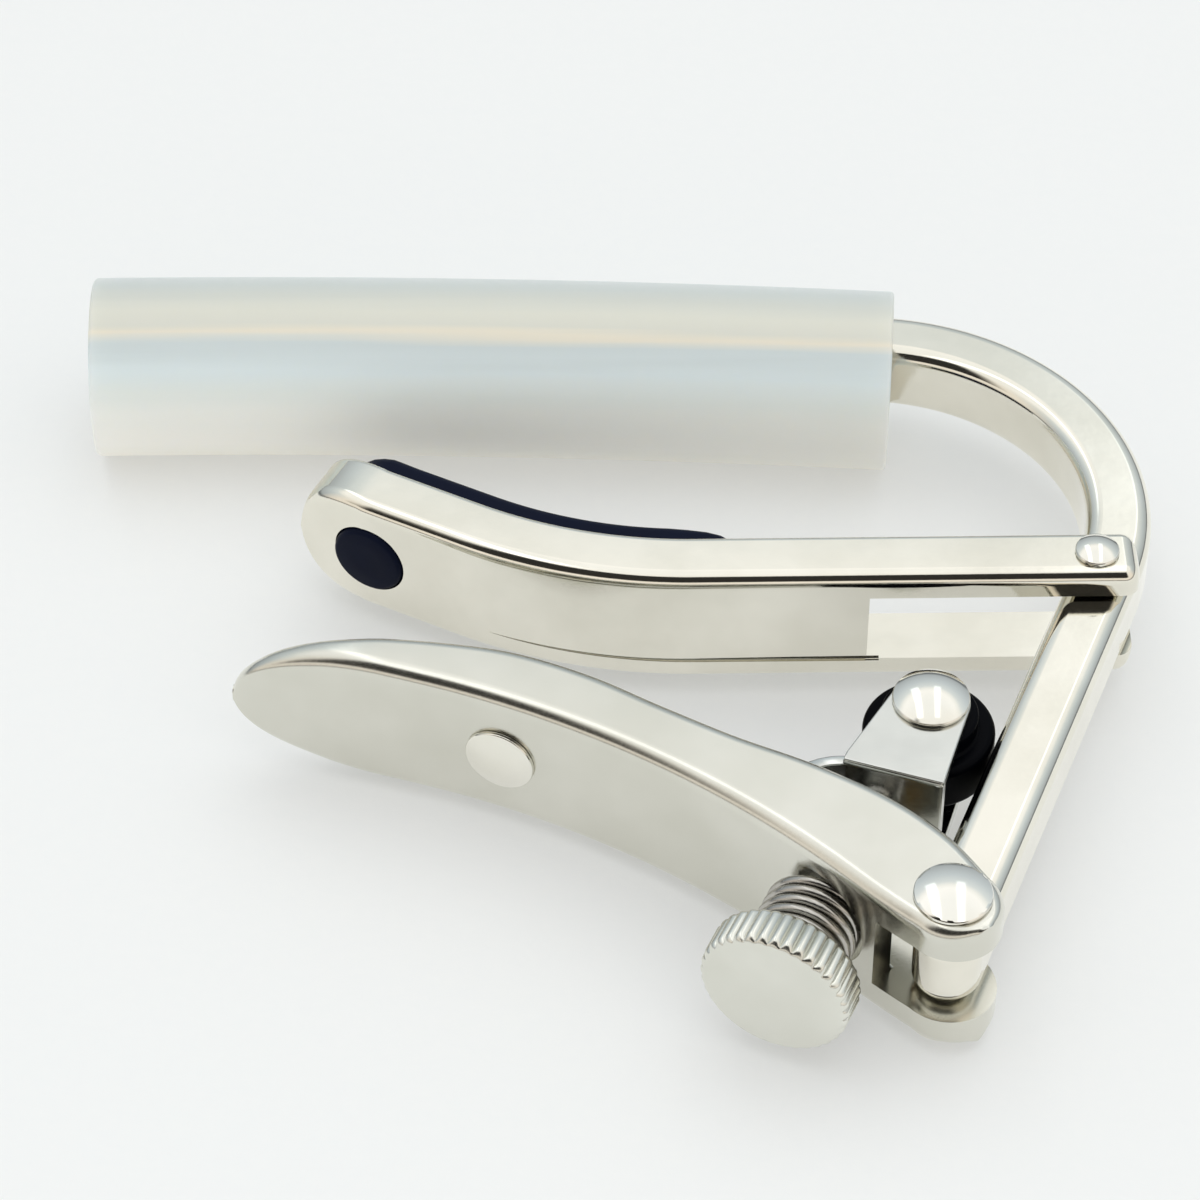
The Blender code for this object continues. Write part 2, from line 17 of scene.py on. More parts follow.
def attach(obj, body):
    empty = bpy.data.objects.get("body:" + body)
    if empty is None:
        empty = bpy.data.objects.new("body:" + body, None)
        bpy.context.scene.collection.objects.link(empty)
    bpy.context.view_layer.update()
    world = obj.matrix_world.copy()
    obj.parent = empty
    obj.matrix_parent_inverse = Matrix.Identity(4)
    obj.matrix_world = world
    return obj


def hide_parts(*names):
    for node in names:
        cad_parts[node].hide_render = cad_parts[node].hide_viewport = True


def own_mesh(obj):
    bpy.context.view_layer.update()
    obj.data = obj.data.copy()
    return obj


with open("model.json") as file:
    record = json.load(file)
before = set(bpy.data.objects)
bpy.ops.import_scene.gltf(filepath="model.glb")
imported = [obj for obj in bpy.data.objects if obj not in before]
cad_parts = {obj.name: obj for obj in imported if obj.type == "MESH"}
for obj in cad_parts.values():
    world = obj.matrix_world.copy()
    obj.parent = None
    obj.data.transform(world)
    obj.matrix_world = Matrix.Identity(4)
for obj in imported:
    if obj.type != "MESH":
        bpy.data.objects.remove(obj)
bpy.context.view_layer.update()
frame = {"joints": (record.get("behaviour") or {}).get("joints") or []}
mm = 0.001
joint = {j["name"]: j for j in frame["joints"]}

# %% [markdown]
# ## Where things are
# The drawing of the capo is in millimetres in plan, and its middle plane is z = 0. The jaw's pin
# ties that drawing to the frame, so one function turns a drawing point into a place.

# %% Drawing to frame
JAW_PIN, LEVER_PIN, ROLLER = (39.3, -0.3), (25.83, -36.69), (25.4, -15.6)
PIN_AT = Vector(joint["jaw_pivot"]["pos_m"])


def at(x, y, z=0.0):
    return PIN_AT + Vector((x - JAW_PIN[0], y - JAW_PIN[1], z)) * mm


lever_off = at(*LEVER_PIN) - Vector(joint["lever_pivot"]["pos_m"])
print("lever pin off by", round(lever_off.length / mm, 3), "mm")

# %% [markdown]
# ## Small tools
# Colours are picked as the eye sees them, in sRGB, and a shader wants linear light, so one
# function turns the one into the other. Another adds a node, sets it and wires it.

# %% Colours and nodes


def linear(code):
    channels = [int(code[i:i + 2], 16) / 255 for i in (1, 3, 5)]
    return tuple(c / 12.92 if c <= 0.04045 else ((c + 0.055) / 1.055) ** 2.4 for c in channels) + (1.0,)


def add(tree, kind, sockets=None, **settings):
    node = tree.nodes.new(kind)
    for name, value in settings.items():
        setattr(node, name, value)
    for name, value in (sockets or {}).items():
        if isinstance(value, bpy.types.NodeSocket):
            tree.links.new(value, node.inputs[name])
        else:
            node.inputs[name].default_value = value
    return node


print("paper white", [round(c, 3) for c in linear("#F2F2F2")])

# %% [markdown]
# A finished mesh becomes an object that rides on its CAD body, and the CAD node it replaces is hidden.
# Shading is smooth with sharp edges kept, and a Weighted Normal modifier lets the big flat faces
# set the normals, so a mirror finish shows flat faces flat and puts all the turn in the rounded
# edges.

# %% Making a piece


def piece(name, bm, finish, body, node, sharp=35):
    bmesh.ops.remove_doubles(bm, verts=bm.verts, dist=2e-6)
    bmesh.ops.recalc_face_normals(bm, faces=bm.faces)
    loose = sum(1 for e in bm.edges if not e.is_manifold)
    mesh = bpy.data.meshes.new(name)
    bm.to_mesh(mesh)
    bm.free()
    mesh.shade_smooth()
    mesh.set_sharp_from_angle(angle=radians(sharp))
    mesh.materials.append(finish)
    obj = bpy.data.objects.new(name, mesh)
    bpy.context.scene.collection.objects.link(obj)
    even = obj.modifiers.new("even shading", "WEIGHTED_NORMAL")
    even.keep_sharp = True
    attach(obj, body)
    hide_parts(node)
    print(f"{name}: {len(mesh.polygons)} faces, {loose} open edges")
    return obj


# %% [markdown]
# Holes and channels are cut with a Boolean modifier on throw-away objects. The cut mesh comes back
# as a bmesh and the cutters are removed.

# %% Cutting


def carve(bm, cutters, operation="DIFFERENCE"):
    made = []
    for mesh_source in [bm] + cutters:
        mesh = bpy.data.meshes.new("blank")
        bmesh.ops.recalc_face_normals(mesh_source, faces=mesh_source.faces)
        mesh_source.to_mesh(mesh)
        mesh_source.free()
        made.append(bpy.data.objects.new("blank", mesh))
        bpy.context.scene.collection.objects.link(made[-1])
    for tool in made[1:]:
        cut = made[0].modifiers.new("cut", "BOOLEAN")
        cut.solver, cut.operation, cut.object = "EXACT", operation, tool
    ready = made[0].evaluated_get(bpy.context.evaluated_depsgraph_get())
    out = bmesh.new()
    out.from_mesh(bpy.data.meshes.new_from_object(ready))
    for obj in made:
        bpy.data.objects.remove(obj)
    return out


# %% [markdown]
# Pins, wheels and domes are turned: a profile of radius and height is drawn as a line of edges
# and spun once round. The full spin merges its seam.

# %% Turning


def arc(cx, cy, r, start, end, steps):
    turns = [radians(start + (end - start) * i / steps) for i in range(steps + 1)]
    return [(cx + r * cos(t), cy + r * sin(t)) for t in turns]


def turned(profile, centre, axis=(0, 0, 1), steps=64, closed=False):
    bm = bmesh.new()
    verts = [bm.verts.new((r * mm, 0, h * mm)) for r, h in profile]
    for a, b in zip(verts, verts[1:] + (verts[:1] if closed else [])):
        if a is not b:
            bm.edges.new((a, b))
    bmesh.ops.spin(bm, geom=bm.verts[:] + bm.edges[:], cent=(0, 0, 0), axis=(0, 0, 1), dvec=(0, 0, 0),
                   angle=2 * pi, steps=steps, use_merge=True, use_duplicate=False)
    bmesh.ops.remove_doubles(bm, verts=bm.verts, dist=1e-6)
    turn = Vector((0, 0, 1)).rotation_difference(Vector(axis)).to_matrix().to_4x4()
    bmesh.ops.transform(bm, matrix=Matrix.Translation(at(*centre)) @ turn, verts=bm.verts)
    return bm


def bore(r, low, high, centre, axis=(0, 0, 1), steps=64):
    return turned([(0, low), (r, low), (r, high), (0, high)], centre, axis, steps)


def grow(bm, faces):
    """Extrude faces with their edges, so that the old faces go, and give back the new ones."""
    edges = list({e for f in faces for e in f.edges})
    grown = bmesh.ops.extrude_face_region(bm, geom=faces + edges)["geom"]
    return [g for g in grown if isinstance(g, bmesh.types.BMFace)]


# %% [markdown]
# Jaw and lever are long forms whose section changes along a curve. A sweep starts with a disc.
# Its four quarters are pushed apart into a rounded rectangle, the face is extruded to the next
# station and pushed again there. Each point remembers its corner and its angle, so a corner keeps
# its radius while the section grows and shrinks.

# %% Sweeping a rounded section


def sweep(path, stations, steps=5):
    """stations: (s, near depth, far depth, half width, radius at the near edge, at the far edge)."""
    bm = bmesh.new()
    corner = bm.verts.layers.float_vector.new("corner")
    disc = bmesh.ops.create_circle(bm, cap_ends=True, segments=4 * (steps + 1), radius=1)
    ring = sorted(disc["verts"], key=lambda v: atan2(v.co.y, v.co.x) % (2 * pi))
    for i, v in enumerate(ring):
        quarter, turn = divmod(i, steps + 1)
        v[corner] = Vector(((1, -1, -1, 1)[quarter], (1, 1, -1, -1)[quarter],
                            radians(90 * (quarter + turn / steps))))
    face = bm.faces[:][0]
    for k, (s, near, far, half, r_near, r_far) in enumerate(stations):
        if k:
            face = grow(bm, [face])[0]
        (x, y), n = path(s)
        for v in face.verts:
            side, up, turn = v[corner]
            r = min(r_far if side > 0 else r_near, (far - near) * 0.49, half * 0.98)
            d = (far - r if side > 0 else near + r) + r * cos(turn)
            v.co = at(x + d * n[0], y + d * n[1], up * (half - r) + r * sin(turn))
    return bm


def spread(a, b, n):
    return [a + (b - a) * i / (n - 1) for i in range(n)]


def through(table, s):
    """Smooth curve through a few (s, value) pairs, level with its neighbours' slope."""
    i = next((k for k in range(len(table) - 1) if s <= table[k + 1][0]), len(table) - 2)
    p = [table[min(max(k, 0), len(table) - 1)] for k in (i - 1, i, i + 1, i + 2)]
    w = p[2][0] - p[1][0]
    m0 = (p[2][1] - p[0][1]) / (p[2][0] - p[0][0]) * w
    m1 = (p[3][1] - p[1][1]) / (p[3][0] - p[1][0]) * w
    u = min(max((s - p[1][0]) / w, 0.0), 1.0)
    return ((2 * u**3 - 3 * u**2 + 1) * p[1][1] + (u**3 - 2 * u**2 + u) * m0
            + (3 * u**2 - 2 * u**3) * p[2][1] + (u**3 - u**2) * m1)


# %% [markdown]
# ## Finishes
# ### Nickel plate
# Bar, jaw, lever and rivets are brass under nickel plate. Nickel is a warm grey mirror. Buffed
# before plating, it keeps a faint orange peel with waves about a millimetre long, and the flat webs
# that are only tumbled keep a fine satin grain of about 0.2 mm, which spreads a reflection without
# hiding it. Base colour is nickel's own reflectance; both patterns go into roughness and bump.
# Each finish has two tones, a span of roughness, the waves' depth and length, and the grain's.

# %% Nickel finishes


def nickel(name, colour, rough, peel, peel_mm, grain, grain_mm):
    mat = bpy.data.materials.new(name)
    mat.use_nodes = True
    t = mat.node_tree
    shader = t.nodes["Principled BSDF"]
    place = add(t, "ShaderNodeTexCoord").outputs["Object"]
    waves = add(t, "ShaderNodeTexNoise", {"Vector": place, "Scale": 1000 / peel_mm, "Detail": 2.0})
    grit = add(t, "ShaderNodeTexNoise", {"Vector": place, "Scale": 1000 / grain_mm, "Detail": 3.0})
    cloud = add(t, "ShaderNodeTexNoise", {"Vector": place, "Scale": 1000 / 9.0, "Detail": 4.0})
    tone = add(t, "ShaderNodeMapRange", {"Value": cloud.outputs["Fac"], "From Min": 0.35, "From Max": 0.65,
                                         "To Min": 0.0, "To Max": 1.0})
    tint = add(t, "ShaderNodeMix", {"Factor": tone.outputs["Result"], "A": linear(colour[0]),
                                    "B": linear(colour[1])}, data_type="RGBA")
    t.links.new(tint.outputs[2], shader.inputs["Base Color"])
    spread_rough = add(t, "ShaderNodeMapRange", {"Value": grit.outputs["Fac"], "From Min": 0.3,
                                                 "From Max": 0.7, "To Min": rough[0], "To Max": rough[1]})
    t.links.new(spread_rough.outputs["Result"], shader.inputs["Roughness"])
    soft = add(t, "ShaderNodeBump", {"Height": waves.outputs["Fac"], "Strength": 1.0, "Distance": peel * mm})
    fine = add(t, "ShaderNodeBump", {"Height": grit.outputs["Fac"], "Strength": 1.0, "Distance": grain * mm,
                                     "Normal": soft.outputs["Normal"]})
    t.links.new(fine.outputs["Normal"], shader.inputs["Normal"])
    shader.inputs["Metallic"].default_value = 1.0
    print(name, "waves", peel_mm, "mm, grain", grain_mm, "mm")
    return mat


NICKEL_TONES = ("#E4E1D6", "#DAD7CB")
polished_nickel = nickel("nickel plated brass polished", NICKEL_TONES, (0.07, 0.12), 0.005, 1.6, 0.0002, 0.25)
satin_nickel = nickel("nickel plated brass satin tumbled", ("#D3D2C9", "#CBCAC0"), (0.17, 0.25),
                      0.005, 2.4, 0.0007, 0.16)
rivet_nickel = nickel("nickel plated rivet polished", ("#E6E4DC", "#DEDCD2"), (0.05, 0.09),
                      0.002, 2.0, 0.0001, 0.3)
knob_nickel = nickel("nickel plated knob turned", ("#D9D9D1", "#D0D0C7"), (0.20, 0.27),
                     0.003, 1.4, 0.00015, 0.14)

# %% [markdown]
# ### Spring steel
# The carriage strip and the coil spring are bright cold-rolled steel: greyer than nickel, with the
# rolling lines about 0.15 mm apart along the strip.

# %% Steel


def rolled_steel(name, colour, rough, line_mm):
    mat = bpy.data.materials.new(name)
    mat.use_nodes = True
    t = mat.node_tree
    shader = t.nodes["Principled BSDF"]
    place = add(t, "ShaderNodeTexCoord").outputs["Object"]
    run = add(t, "ShaderNodeMapping", {"Vector": place, "Scale": (0.04, 1.0, 1.0)})
    lines = add(t, "ShaderNodeTexNoise", {"Vector": run.outputs["Vector"], "Scale": 1000 / line_mm,
                                          "Detail": 2.0})
    stain = add(t, "ShaderNodeTexNoise", {"Vector": place, "Scale": 1000 / 3.0, "Detail": 3.0})
    tint = add(t, "ShaderNodeMix", {"Factor": stain.outputs["Fac"], "A": linear(colour[0]),
                                    "B": linear(colour[1])}, data_type="RGBA")
    t.links.new(tint.outputs[2], shader.inputs["Base Color"])
    gloss = add(t, "ShaderNodeMapRange", {"Value": lines.outputs["Fac"], "From Min": 0.3, "From Max": 0.7,
                                          "To Min": rough[0], "To Max": rough[1]})
    t.links.new(gloss.outputs["Result"], shader.inputs["Roughness"])
    bump = add(t, "ShaderNodeBump", {"Height": lines.outputs["Fac"], "Strength": 1.0, "Distance": 0.002 * mm})
    t.links.new(bump.outputs["Normal"], shader.inputs["Normal"])
    shader.inputs["Metallic"].default_value = 1.0
    print(name, "rolling lines", line_mm, "mm apart")
    return mat


strip_steel = rolled_steel("spring steel strip cold rolled", ("#D2D3CE", "#C2C3BF"), (0.15, 0.23), 0.16)
wire_steel = rolled_steel("spring steel wire drawn", ("#B9B6B0", "#A19E98"), (0.16, 0.28), 0.12)
screw_steel = rolled_steel("screw steel turned", ("#BDBBB6", "#A9A7A2"), (0.20, 0.32), 0.10)
brass = rolled_steel("brass turned", ("#C9A869", "#B28F50"), (0.18, 0.30), 0.12)

# %% [markdown]
# ### Rubber
# The pad and the roller are moulded black rubber. Carbon black makes it almost blue-black, its
# skin is matt with a mould grain of about 0.15 mm, and it shines softly only at a grazing angle.

# %% Black rubber


def rubber(name, colour, rough, grain_mm, grain, shine):
    mat = bpy.data.materials.new(name)
    mat.use_nodes = True
    t = mat.node_tree
    shader = t.nodes["Principled BSDF"]
    place = add(t, "ShaderNodeTexCoord").outputs["Object"]
    skin = add(t, "ShaderNodeTexNoise", {"Vector": place, "Scale": 1000 / grain_mm, "Detail": 4.0})
    bloom = add(t, "ShaderNodeTexNoise", {"Vector": place, "Scale": 1000 / 2.5, "Detail": 3.0})
    tint = add(t, "ShaderNodeMix", {"Factor": bloom.outputs["Fac"], "A": linear(colour[0]),
                                    "B": linear(colour[1])}, data_type="RGBA")
    t.links.new(tint.outputs[2], shader.inputs["Base Color"])
    gloss = add(t, "ShaderNodeMapRange", {"Value": bloom.outputs["Fac"], "From Min": 0.3, "From Max": 0.7,
                                          "To Min": rough[0], "To Max": rough[1]})
    t.links.new(gloss.outputs["Result"], shader.inputs["Roughness"])
    bump = add(t, "ShaderNodeBump", {"Height": skin.outputs["Fac"], "Strength": 1.0, "Distance": grain * mm})
    t.links.new(bump.outputs["Normal"], shader.inputs["Normal"])
    shader.inputs["Specular IOR Level"].default_value = shine
    print(name, "grain", grain_mm, "mm")
    return mat


pad_rubber = rubber("rubber moulded matt black", ("#0B1021", "#10162A"), (0.42, 0.55), 0.15, 0.004, 0.05)
roller_rubber = rubber("rubber moulded smooth black", ("#020306", "#040509"), (0.30, 0.40), 0.2, 0.002, 0.03)

# %% [markdown]
# ### Silicone
# The sleeve is a thick extruded tube of unfilled silicone, its wall thickest in front. Light goes a
# few millimetres into it, so it looks milky. Its light and shade round the tube are painted into its
# colour: painted shade over the back and top, a painted warm highlight line where the metal bar lies
# just under the skin, painted cool and bright light in front, and painted yellowish bounce light
# underneath from the table. A ramp round the tube carries this painted shading, on an attribute that
# the mesh stores.

# %% Milky silicone
silicone = bpy.data.materials.new("silicone rubber extruded milky")
silicone.use_nodes = True
t = silicone.node_tree
shader = t.nodes["Principled BSDF"]
place = add(t, "ShaderNodeTexCoord").outputs["Object"]
around = add(t, "ShaderNodeAttribute", attribute_name="around").outputs["Fac"]
streak_run = add(t, "ShaderNodeMapping", {"Vector": place, "Scale": (0.03, 1.0, 1.0)})
streaks = add(t, "ShaderNodeTexNoise", {"Vector": streak_run.outputs["Vector"], "Scale": 1000 / 1.4,
                                        "Detail": 3.0})
wobble = add(t, "ShaderNodeMath", {0: streaks.outputs["Fac"], 1: 0.03, 2: -0.015}, operation="MULTIPLY_ADD")
where = add(t, "ShaderNodeMath", {0: around, 1: wobble.outputs[0]}, operation="ADD")
ramp = add(t, "ShaderNodeValToRGB", {"Fac": where.outputs[0]})
# Painted light and shade round the tube: painted shade on the back and top, a painted highlight line at
# 0.322, painted cool and bright light on the front, painted cream bounce light underneath.
painted_shading_bands = [(0.00, "#D8DEDC"), (0.13, "#CCD2D1"), (0.20, "#C9CFCC"), (0.24, "#CDD0C9"), (0.275, "#D6D7CD"),
         (0.305, "#D5D6CD"), (0.322, "#E3DECF"), (0.340, "#CDD7D9"), (0.39, "#DFEAED"), (0.43, "#E6EDEB"),
         (0.47, "#F0F3EF"), (0.55, "#F8F7F0"), (0.65, "#F6F1E5"), (0.80, "#EBE9DF"), (1.00, "#D8DEDC")]
while len(ramp.color_ramp.elements) < len(painted_shading_bands):
    ramp.color_ramp.elements.new(0.5)
for element, (position, code) in zip(ramp.color_ramp.elements, painted_shading_bands):
    element.position, element.color = position, linear(code)
t.links.new(ramp.outputs["Color"], shader.inputs["Base Color"])
skin = add(t, "ShaderNodeTexNoise", {"Vector": place, "Scale": 1000 / 0.9, "Detail": 4.0})
gloss = add(t, "ShaderNodeMapRange", {"Value": skin.outputs["Fac"], "From Min": 0.3, "From Max": 0.7,
                                      "To Min": 0.34, "To Max": 0.46})
t.links.new(gloss.outputs["Result"], shader.inputs["Roughness"])
bump = add(t, "ShaderNodeBump", {"Height": streaks.outputs["Fac"], "Strength": 1.0, "Distance": 0.012 * mm})
t.links.new(bump.outputs["Normal"], shader.inputs["Normal"])
shader.inputs["IOR"].default_value = 1.41
shader.inputs["Subsurface Weight"].default_value = 0.6
shader.inputs["Subsurface Radius"].default_value = (1.0, 0.95, 0.85)
shader.inputs["Subsurface Scale"].default_value = 2.5 * mm
print("silicone bands:", len(painted_shading_bands))

# %% [markdown]
# ## The bent bar
# One bar of brass makes the string bar, the bow and the leg. It is drawn flat, like a bending plan:
# a single point is spun round the centre of each bend and pushed along each straight, out along one
# side and back along the other. The outline is filled, thickened and its long edges are rounded.

# %% Bent bar
BAR_W, BAR_H, BAR_EDGE = 5.3, 6.2, 1.25
BOW_C, BOW_R, LEG_TILT, LEG_LEN = (22.0, 8.6), 19.95, radians(21.2), 40.85
BAR_TILT, BAR_ARC, BAR_ANGLE = radians(3.9), 766.0, radians(4.97)
BOW_TOP = pi / 2 - BAR_TILT
ARCH_C = (BOW_C[0] + (BOW_R - BAR_ARC) * cos(BOW_TOP), BOW_C[1] + (BOW_R - BAR_ARC) * sin(BOW_TOP))


def bar_at(turn):
    """Point and outward normal on the bar's centreline, turn radians back from the bow."""
    n = (cos(BOW_TOP + turn), sin(BOW_TOP + turn))
    return (ARCH_C[0] + BAR_ARC * n[0], ARCH_C[1] + BAR_ARC * n[1]), n


def bent_bar():
    bm = bmesh.new()
    (x, y), n = bar_at(BAR_ANGLE)
    half = BAR_W / 2
    start = bm.verts.new(at(x + half * n[0], y + half * n[1], -BAR_H / 2))
    leg = Vector((-sin(LEG_TILT), -cos(LEG_TILT), 0)) * LEG_LEN * mm

    def bend(v, centre, angle, steps):
        made = bmesh.ops.spin(bm, geom=[v], cent=at(*centre, -BAR_H / 2), axis=(0, 0, 1), dvec=(0, 0, 0),
                              angle=angle, steps=steps, use_merge=False, use_duplicate=False)
        return next(g for g in made["geom_last"] if isinstance(g, bmesh.types.BMVert))

    def push(v, vec):
        new = bmesh.ops.extrude_vert_indiv(bm, verts=[v])["verts"][0]
        bmesh.ops.translate(bm, verts=[new], vec=vec)
        return new

    sweep_angle = BOW_TOP + LEG_TILT
    v = bend(start, ARCH_C, -BAR_ANGLE, 16)
    v = bend(v, BOW_C, -sweep_angle, 44)
    v = push(v, leg)
    v = bend(v, LEVER_PIN, -pi, 20)
    v = push(v, -leg)
    v = bend(v, BOW_C, sweep_angle, 44)
    v = bend(v, ARCH_C, BAR_ANGLE, 16)
    bm.edges.new((v, start))
    bmesh.ops.remove_doubles(bm, verts=bm.verts, dist=1e-6)
    bmesh.ops.contextual_create(bm, geom=bm.edges[:])
    grown = bmesh.ops.extrude_face_region(bm, geom=bm.faces[:])["geom"]
    top = [g for g in grown if isinstance(g, bmesh.types.BMVert)]
    bmesh.ops.translate(bm, verts=top, vec=(0, 0, BAR_H * mm))
    bmesh.ops.recalc_face_normals(bm, faces=bm.faces)
    rims = [e for e in bm.edges if abs(e.verts[0].co.z - e.verts[1].co.z) < 1e-7]
    bmesh.ops.bevel(bm, geom=rims, offset=BAR_EDGE * mm, segments=7, profile=0.5, affect="EDGES",
                    material=-1, clamp_overlap=False)
    flats = [f for f in bm.faces if abs(f.normal.z) > 0.999 and f.calc_area() > 1e-4]
    bmesh.ops.inset_region(bm, faces=flats, thickness=0.08 * mm, use_even_offset=True)
    return bm


piece("string_bar", bent_bar(), polished_nickel, "frame", "frame_bar")

# %% [markdown]
# ## The sleeve
# The tube slides over the bar, which sits off centre so that the thickest rubber faces the strings.
# A circle and a smaller rounded loop for the bar are bridged into a ring, and the ring is extruded
# along the arch of the bar. The attribute "around" runs from 0 to 1 round the tube and places the
# painted light and shade of its finish.

# %% Sleeve
SLEEVE_R, SLEEVE_OFF, SEAT_GAP = 7.5, 2.6, 0.05
SLEEVE_ENDS = (radians(-0.09), radians(4.93))


def sleeve():
    bm = bmesh.new()
    section = bm.verts.layers.float_vector.new("section")
    outer = bmesh.ops.create_circle(bm, cap_ends=False, segments=96, radius=SLEEVE_R)["verts"]
    bmesh.ops.translate(bm, verts=outer, vec=(-SLEEVE_OFF, 0, 0))
    inner = bmesh.ops.create_circle(bm, cap_ends=False, segments=96, radius=1.0)["verts"]
    for v in inner:
        w, h = BAR_W / 2 + SEAT_GAP, BAR_H / 2 + SEAT_GAP
        v.co *= (abs(v.co.x / w) ** 7 + abs(v.co.y / h) ** 7) ** (-1 / 7)
    bmesh.ops.bridge_loops(bm, edges=bm.edges[:])
    for v in bm.verts:
        v[section] = v.co
    ring = bm.faces[:]
    turns = spread(*SLEEVE_ENDS, 40)
    for k, turn in enumerate(turns):
        if k:
            ring = grow(bm, ring)
        (x, y), n = bar_at(turn)
        for v in {v for f in ring for v in f.verts}:
            d, z, _ = v[section]
            v.co = at(x + d * n[0], y + d * n[1], z)
    ends = []
    for turn in SLEEVE_ENDS:
        (x, y), n = bar_at(turn)
        flat = Vector((-n[1], n[0], 0))
        ends += [e for e in bm.edges if all(abs((v.co - at(x, y)).dot(flat)) < 1e-6
                                            and abs(Vector((v[section].x + SLEEVE_OFF, v[section].y)).length
                                                    - SLEEVE_R) < 1e-3 for v in e.verts)]
    bmesh.ops.bevel(bm, geom=ends, offset=0.35 * mm, segments=4, profile=0.5, affect="EDGES", material=-1,
                    clamp_overlap=False)
    return bm


tube = piece("sleeve", sleeve(), silicone, "frame", "string_sleeve", sharp=50)
around = tube.data.attributes.new("around", "FLOAT", "CORNER")
arch = at(*ARCH_C)


def turn_at(co):
    """Turns round the tube, from its outer side upwards."""
    out = (Vector((co.x, co.y, arch.z)) - arch).length / mm - (BAR_ARC - SLEEVE_OFF)
    return atan2((co.z - arch.z) / mm, out) / (2 * pi)


for face in tube.data.polygons:
    middle = turn_at(face.center)
    for i in face.loop_indices:
        step = turn_at(tube.data.vertices[tube.data.loops[i].vertex_index].co) - middle
        around.data[i].value = middle % 1.0 + (step + 0.5) % 1.0 - 0.5

# %% [markdown]
# ## The jaw
# The jaw is pressed brass: a channel with a closed round tip. Towards its pin the web is cut away,
# so that it forks round the leg. Its path is two straights and a bend, measured along the outside
# of the web. The shell is swept, then the channel, the window, the plug's hole and a fine fold
# line along the web are cut. The fold line runs out towards the tip.

# %% Jaw
JAW_C, JAW_R, JAW_BEND, JAW_TILT = (6.96, 37.6), 41.0, radians(27.0), radians(0.86)
JAW_END_X, JAW_H, JAW_D, JAW_IN, JAW_WEB = 42.1, 5.7, 5.0, 3.4, 1.9
JAW_TIP, JAW_NOSE, WINDOW_X, PLUG_R, PLUG_BACK = 8.4, 6.3, 20.7, 3.1, 0.5
FOLD_DEPTH, FOLD_BACK, END_ROUND = 0.3, 11.5, 1.3
JAW_STRAIGHT = (JAW_END_X - JAW_C[0]) * cos(JAW_TILT)
JAW_TIP_S = JAW_STRAIGHT + JAW_R * (JAW_BEND + JAW_TILT) + JAW_TIP


def jaw_at(s):
    """Outside of the web and its inward normal, s mm from the end at the pin."""
    turned_by = min(max(s - JAW_STRAIGHT, 0.0) / JAW_R, JAW_BEND + JAW_TILT)
    a = -pi / 2 + JAW_TILT - turned_by
    extra = min(0.0, s - JAW_STRAIGHT) + max(0.0, s - JAW_TIP_S + JAW_TIP)
    return ((JAW_C[0] + JAW_R * cos(a) + extra * sin(a), JAW_C[1] + JAW_R * sin(a) - extra * cos(a)),
            (-cos(a), -sin(a)))


def blunt(u, half):
    """Half width of a round end, u from 0 where it starts to 1 at its tip."""
    return half * (1 - min(max(u, 0.0), 0.9985) ** 2.6) ** (1 / 2.6)


def jaw_lift(s):
    """The tip turns up a little towards the bar."""
    return 0.9 * (max(0.0, s - JAW_TIP_S + 2) / (JAW_NOSE + 2)) ** 2


def jaw():
    rows = []
    for a in spread(0, radians(75), 6):
        inset = END_ROUND * (1 - sin(a))
        rows.append((END_ROUND * (1 - cos(a)), inset, JAW_D - inset, JAW_H - inset))
    rows += [(s, 0, JAW_D, JAW_H) for s in [END_ROUND, 8] + spread(JAW_STRAIGHT - 1, JAW_TIP_S, 40)]
    for u in (0.1, 0.2, 0.3, 0.4, 0.5, 0.6, 0.68, 0.76, 0.83, 0.88, 0.92, 0.95, 0.975, 0.99, 0.9985):
        s = JAW_TIP_S + JAW_NOSE * u
        rows.append((s, jaw_lift(s), JAW_D + jaw_lift(s), blunt(u, JAW_H)))
    shell = sweep(jaw_at, [(s, a, b, h, 1.15, 0.7) for s, a, b, h in rows], 8)
    hollow = [(s, JAW_WEB, JAW_D + 3, JAW_IN) for s in [-3] + spread(JAW_STRAIGHT - 1, JAW_TIP_S, 40)]
    for u in (0.15, 0.3, 0.45, 0.6, 0.72, 0.82, 0.9, 0.96, 0.99):
        s = JAW_TIP_S + (JAW_NOSE - JAW_H + JAW_IN) * u
        hollow.append((s, JAW_WEB + jaw_lift(s), JAW_D + 3, blunt(u, JAW_IN)))
    channel = sweep(jaw_at, [(s, a, b, h, 0.5, 0.1) for s, a, b, h in hollow], 4)
    window = sweep(jaw_at, [(s, -2, 4, JAW_IN, 0.4, 0.4) for s in (-3, JAW_END_X - WINDOW_X)], 4)
    along = zip(spread(JAW_TIP_S - FOLD_BACK, JAW_END_X - WINDOW_X - 1, 40), spread(0.02, 1, 40))
    fold = sweep(jaw_at, [(s, -0.2, FOLD_DEPTH * u**0.6, 0.06 + 0.24 * u**0.5, 0.02, 0.02 + 0.05 * u)
                          for s, u in along], 3)
    bmesh.ops.translate(fold, verts=fold.verts, vec=(0, 0, -JAW_IN * mm))
    hole, n = jaw_at(JAW_TIP_S - PLUG_BACK)
    return carve(shell, [channel, window, fold, bore(PLUG_R + 0.12, -2, 3.2, (*hole, 0), (*n, 0)),
                         bore(1.25, -8, 8, (*JAW_PIN, 0))])


piece("clamp_jaw", jaw(), polished_nickel, "jaw", "jaw")

# %% [markdown]
# ## The pad
# A strip of black rubber lies over the jaw's flanges, with its core in the channel, and a round
# plug through the web holds it. The lip is swept with a soft shoulder that fades out at both ends.

# %% Pad


